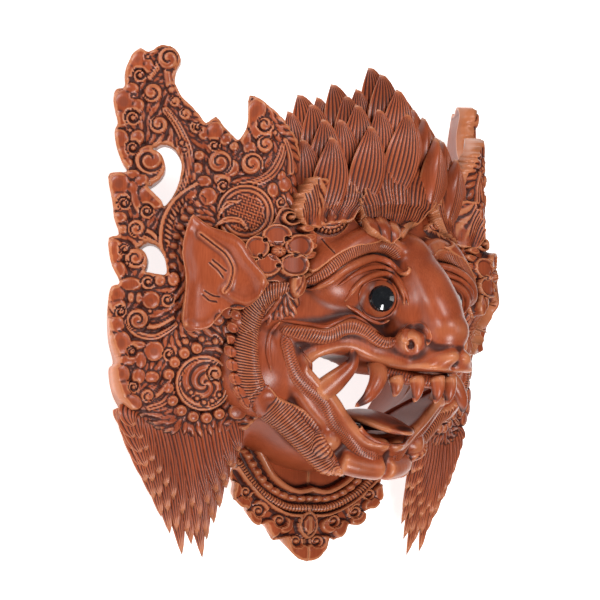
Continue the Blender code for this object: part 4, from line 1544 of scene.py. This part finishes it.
@dataclass
class Collar:
    """The flat bib under the chin: nested arcs round a shield, over a row of scrolled leaves."""

    outline: tuple = ((0, -122), (60, -122), (90, -124), (98, -136), (103, -149), (99, -157),
                      (101, -168), (92, -177), (81, -179), (78, -189), (68, -194), (55, -193),
                      (50, -202), (41, -208), (29, -206), (24, -217), (14, -225), (0, -228))
    arcs: tuple = (
        (((252, 440), (261, 458), (273, 478), (293, 491), (311, 489)), 7, 9, 0, 0.0),
        (((246, 452), (256, 470), (268, 486), (288, 497), (311, 498.5)), 8, 7, 0, 9.0),
        (((238, 462), (251, 482), (266, 496), (288, 507), (311, 508)), 9, 6.5, 0, 3.0),
        (((232, 462), (246, 482), (262.5, 500), (282, 512.5), (297, 515.5), (311, 514)), 4, 8, 0,
         0.0))
    lobes: tuple = ((232, 490, 10, 10), (241, 504, 10, 9), (251, 520, 11, 10), (262, 506, 8, 8),
                    (270, 529, 11, 10), (284, 525, 9, 9), (288, 545, 11, 10), (300, 553, 11, 10),
                    (311, 556, 8, 10))
    eyelets: tuple = ((246, 492, 6.5), (258.5, 511, 7), (279.5, 520.5, 7.5), (296, 541, 7))
    shield: tuple = (309.7, 525)
    shield_radii: tuple = (12.5, 14.5)
    shield_cut: tuple = ((309.7, 516), (309.7, 525), (309.7, 534))
    rise_at: tuple = (-240, -190, -176, -150, -120)
    rise: tuple = (21.0, 22.0, 24.0, 27.0, 28.0)

    def build(self, bench: Bench) -> None:
        """Make the collar."""
        bm = tray(smooth_path(self.outline, 3, False), (), (1.05, 1.05), 1.5)
        flat = np.array([v.co[:2] for v in bm.verts])
        base = np.interp(flat[:, 1], self.rise_at, self.rise)
        points = np.column_stack((flat, base))
        relief = Relief(bench.sight.seen(points * (-1, 1, 1)))
        relief.each(relief.lobe, self.lobes)
        for arc in self.arcs:
            relief.ribbon(*arc, 0.0, 2.4)
        relief.each(relief.eyelet, self.eyelets)
        share = np.hypot(*((relief.spots - self.shield) / self.shield_radii).T)
        shield = 6 + 3 * (1 - share ** 2) - 2.2 * (np.abs(share - 0.74) < 0.07)
        relief.lay(share < 1, shield)
        relief.line(self.shield_cut, 0.8, 1.0)
        front = points + np.outer(relief.height - 3, (0, 0, 1))
        front[:, 2] = np.maximum(front[:, 2], 3)
        behind = np.column_stack((flat * (0.78, 0.8) + (0, -30), np.zeros(len(flat))))
        bench.wooden("collar", mirrored(walled(bm, front, behind)))


@dataclass
class FaceBands:
    """Hatched bands and ridges that follow the brow, lips and jaw, laid on the head."""

    hatched: tuple = (
        (((303, 282), (314, 279), (326, 272), (340, 260), (353, 252), (366, 247.5), (380, 247),
          (391, 250.5), (400, 259)), (7, 11, 14, 14, 13), 3.4, 2.3, 1.0),
        (((279, 329), (290, 331), (300, 333), (311, 335), (323, 337), (333, 335), (343.6, 329),
          (354.5, 327.5), (365.5, 331), (376, 339), (385, 343), (396, 341)),
         (9, 13, 13, 12, 10), 3.0, 2.5, 1.5),
        (((283, 334), (287, 346), (291, 360), (297, 376), (309, 390), (322, 402), (329, 414),
          (336, 427), (348.5, 439.5), (361, 452), (380, 458)),
         (10, 13, 13, 13, 12), 3.0, 2.5, -1.5))
    smooth: tuple = (
        (((303, 289), (315, 288), (330, 281.5), (345, 270.5), (360, 262.5), (373, 258.5),
          (386, 261.5), (394, 268), (401, 273.5), (406.5, 274), (410, 270), (407, 266.5)),
         (5, 7, 8, 8, 7, 5), 4.4),
        (((336, 287), (345, 281), (355, 274), (368, 268.5), (380, 267.5), (390, 271), (398, 279),
          (403, 288), (407, 297), (409, 306)), (3, 5, 5, 5, 4), 3.4),
        (((344, 302), (351, 292), (359, 283), (370, 276.5), (382, 274), (392, 278), (399, 286),
          (404, 297), (404, 306)), (4, 6, 6, 6, 4), 4.2),
        (((346, 305), (356, 311), (366, 318), (378, 322), (390, 320)), (3, 5, 5, 3), 3.2),
        (((278, 320), (292, 322), (310, 325), (325, 327), (336, 323), (350, 317), (362, 321),
          (374, 331), (385, 337)), (3, 5, 5, 4, 3), 2.4),
        (((409, 345), (404, 338), (407, 329), (415, 325), (424, 328), (429, 336), (427, 346)),
         (6, 7, 7, 6), 1.4),
        (((299, 346), (308, 360), (318, 374), (332, 386), (343, 399), (353, 416), (361, 431),
          (375, 441), (392, 445)), (4, 7, 7, 7, 6), 4.0),
        (((271, 372), (268, 350), (271, 333), (281, 321)), (2, 5, 5, 3), 2.6),
        (((359, 303), (359.5, 292), (366, 283), (378, 279.5), (390, 283), (397, 293), (397, 304),
          (390, 314), (378, 318), (366, 314), (359, 303)), 2.6, 1.8))
    hatch_depth: float = 0.9
    smooth_ends: tuple = (0.12, 0.12)

    def build(self, bench: Bench, tree: BVHTree) -> None:
        """Make the bands of both sides."""
        def laid(path: Spots) -> Run:
            """Lay a path of the photograph on the head."""
            places, ups = bench.sight.onto(tree, smooth_path(path, 4))
            return Run(places, self.steady(ups))
        made = [bar(laid(path), *size, self.hatch_depth) for path, *size in self.hatched]
        made += [bar(laid(path), *size, ends=self.smooth_ends) for path, *size in self.smooth]
        bench.wooden("face_bands", mirrored(joined(made)))

    def steady(self, ups: np.ndarray) -> np.ndarray:
        """Even out outward directions along a path."""
        for _ in range(6):
            ups = unit((np.vstack((ups[:1], ups[:-1])) + ups + np.vstack((ups[1:], ups[-1:]))) / 3)
        return ups


@dataclass
class Shade:
    """Finds how closed in by wood each place lies, and how far it stands over its neighbours.

    The finish paints shade and highlights from these values.
    """

    cell: float = 0.002
    lift: float = 0.0045
    blur: int = 2
    usual: float = 0.17
    facing: float = 0.3

    def measured(self, mesh: bpy.types.Mesh) -> tuple[np.ndarray, np.ndarray, np.ndarray]:
        """Read a mesh's places, outward directions and the area round each place."""
        spots, ups = (np.zeros(len(mesh.vertices) * 3) for _ in range(2))
        mesh.vertices.foreach_get("co", spots)
        mesh.vertices.foreach_get("normal", ups)
        corners, counts = np.zeros(len(mesh.loops), int), np.zeros(len(mesh.polygons), int)
        areas = np.zeros(len(mesh.polygons))
        mesh.loops.foreach_get("vertex_index", corners)
        mesh.polygons.foreach_get("loop_total", counts)
        mesh.polygons.foreach_get("area", areas)
        weights = np.bincount(corners, np.repeat(areas / counts, counts), len(mesh.vertices))
        return spots.reshape(-1, 3), ups.reshape(-1, 3), weights

    def softened(self, grid: np.ndarray) -> np.ndarray:
        """Blur a grid along its three directions."""
        for _ in range(2):
            for axis in range(3):
                grid = sum(np.roll(grid, k, axis) for k in range(-self.blur, self.blur + 1))
        return grid / (2 * self.blur + 1) ** 6

    def hollows(self, mesh: bpy.types.Mesh, spots: np.ndarray, ups: np.ndarray,
                rounds: int) -> np.ndarray:
        """Measure how far each place lies under the surface smoothed a number of rounds."""
        edges = np.zeros(len(mesh.edges) * 2, int)
        mesh.edges.foreach_get("vertices", edges)
        one, two = edges.reshape(-1, 2).T
        ends, others = np.r_[one, two], np.r_[two, one]
        count = np.maximum(np.bincount(ends, minlength=len(spots)), 1)
        soft = spots
        for _ in range(rounds):
            near = np.stack([np.bincount(ends, soft[others, k], len(spots)) for k in range(3)], -1)
            soft = (soft + near / count[:, None]) / 2
        return np.einsum("ij,ij->i", soft - spots, ups)

    def apply(self, pieces: Sequence[bpy.types.Object]) -> None:
        """Write the values on every piece.

        Args:
            pieces: the wood's pieces, which shade each other.
        """
        read = [self.measured(piece.data) for piece in pieces]
        low = np.min([r[0].min(axis=0) for r in read], axis=0) - 0.03
        high = np.max([r[0].max(axis=0) for r in read], axis=0) + 0.03
        shape = np.ceil((high - low) / self.cell).astype(int)
        grid = np.zeros(shape.prod())
        for spots, _, weights in read:
            index = np.ravel_multi_index(((spots - low) / self.cell).astype(int).T, shape)
            grid += np.bincount(index, weights, len(grid))
        grid = self.softened(grid.reshape(shape).astype(np.float32)) / self.cell ** 2
        for piece, (spots, ups, _) in zip(pieces, read):
            index = ((spots + ups * self.lift - low) / self.cell).astype(int)
            # How closed in by wood each place lies, from which the finish paints shade.
            occlusion = grid[tuple(index.T)]
            front = ups[:, 2] > self.facing
            occlusion = occlusion - np.median(occlusion[front]) + self.usual
            # Hollowness, from which the finish paints shade in cuts and highlights on ridges.
            fine = self.hollows(piece.data, spots, ups, 4)
            fine = fine - np.median(fine[front])
            for layer, values in ((Layer.SHUT, occlusion), (Layer.FINE, fine / PART)):
                made = piece.data.attributes.new(layer.value, "FLOAT", "POINT")
                made.data.foreach_set("value", values.astype(np.float32))


@dataclass
class Studio:
    """The white table, soft lights and the photograph's camera."""

    table_half: float = 6.0
    table_gap: float = 0.0004
    sky_strength: float = 0.11

    def area(self, name: str, place: Spots, aim: Spots, size: float, power: float) -> None:
        """Hang a square soft light."""
        lamp = bpy.data.lights.new(name, "AREA")
        lamp.size, lamp.energy = size, power
        turn = (Vector(place) - Vector(aim)).to_track_quat("Z", "Y").to_matrix().to_4x4()
        placed(name, lamp).matrix_world = Matrix.Translation(place) @ turn

    def build(self, sight: Sight, shift: float) -> None:
        """Set up the studio."""
        bm = bmesh.new()
        bmesh.ops.create_grid(bm, x_segments=1, y_segments=1, size=self.table_half)
        bmesh.ops.translate(bm, vec=(0, 0, -self.table_gap), verts=bm.verts[:])
        table = placed("table", meshed("table", bm))
        table.data.materials.append(WhiteTable().made())
        right, up, back = sight.axes()
        for lamp in (("key light", back * 1.5 + up * 1.1 - right * 0.8, (0, 0, 0.08), 0.5, 15),
                     ("low light", (-0.4, -1.15, 1.4), (0, -0.14, 0.02), 0.6, 26),
                     ("side light", back * 0.9 + right * 1.6 + up * 0.3, (0, 0, 0.1), 0.8, 6),
                     ("window", (-0.35, 0.85, 1.6), (0, 0, 0.15), 0.5, 15)):
            self.area(*lamp)
        world = bpy.data.worlds.new("studio")
        bpy.context.scene.world = world
        world.use_nodes = True
        sky = world.node_tree.nodes["Background"].inputs
        sky[0].default_value, sky[1].default_value = (1, 1, 1, 1), self.sky_strength
        bpy.context.scene.view_settings.view_transform = "Standard"
        sight.camera(shift)


def main() -> None:
    """Build the mask round its frame, piece by piece."""
    logging.basicConfig(level=logging.INFO, format="%(message)s")
    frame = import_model()
    low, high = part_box("pupil_left")
    head = Head()
    shift = (low.y + high.y) / 2 - head.eye_centre[1] * PART
    bench = Bench(Sight(), shift, CarvedSuar().made())
    block = head.carved()
    tree = BVHTree.FromBMesh(block)
    ground = joined([block.copy(), mirrored(Sheet(lift=-3).form())])
    all_round = BVHTree.FromBMesh(ground)
    ground.free()
    bench.wooden("head_block", block)
    FaceBands().build(bench, tree)
    side_fringe = Fringe(((298, 222), (350, 220)), (
        (291, 205), (295, 196), (300, 188), (306, 181), (313, 177.5), (320, 175.5), (327, 175),
        (334, 178), (341, 184), (347, 191), (352, 200)))
    middle_fringe = Fringe(((366, 232), (404, 234)), (
        (351, 204), (357, 197), (364, 190), (371, 180), (380, 170), (388, 163), (397, 159),
        (405, 163), (411, 171), (415, 182), (419, 193), (421, 206)))
    for name, laid in (("ears", Laid(Ear(), 1.15, 7, 0, 40)),
                       ("flowers", Laid(Flower(), 0.85, 6, 0)),
                       ("ruff_and_beard", Laid(Ruff(), 0.85)),
                       ("brow_plates", Laid(BrowPlate(), 0.95)),
                       ("side_fringes", Laid(side_fringe, 0.9, 6, 2))):
        bench.wooden(name, mirrored(laid.form(bench.sight, all_round)))
    bench.wooden("middle_fringe", Laid(middle_fringe, 0.8, 6, 4).form(bench.sight, all_round))
    for part in (Collar(), Mouth(), Wing(), Crest(), Tufts()):
        part.build(bench)
    Shade().apply(bench.pieces)
    black = PolishedBlack().made()
    for name in ("pupil_right", "pupil_left"):
        slots = frame["nodes"][name].data.materials
        slots.clear()
        slots.append(black)
    Studio().build(bench.sight, shift)


if __name__ == "__main__":
    main()
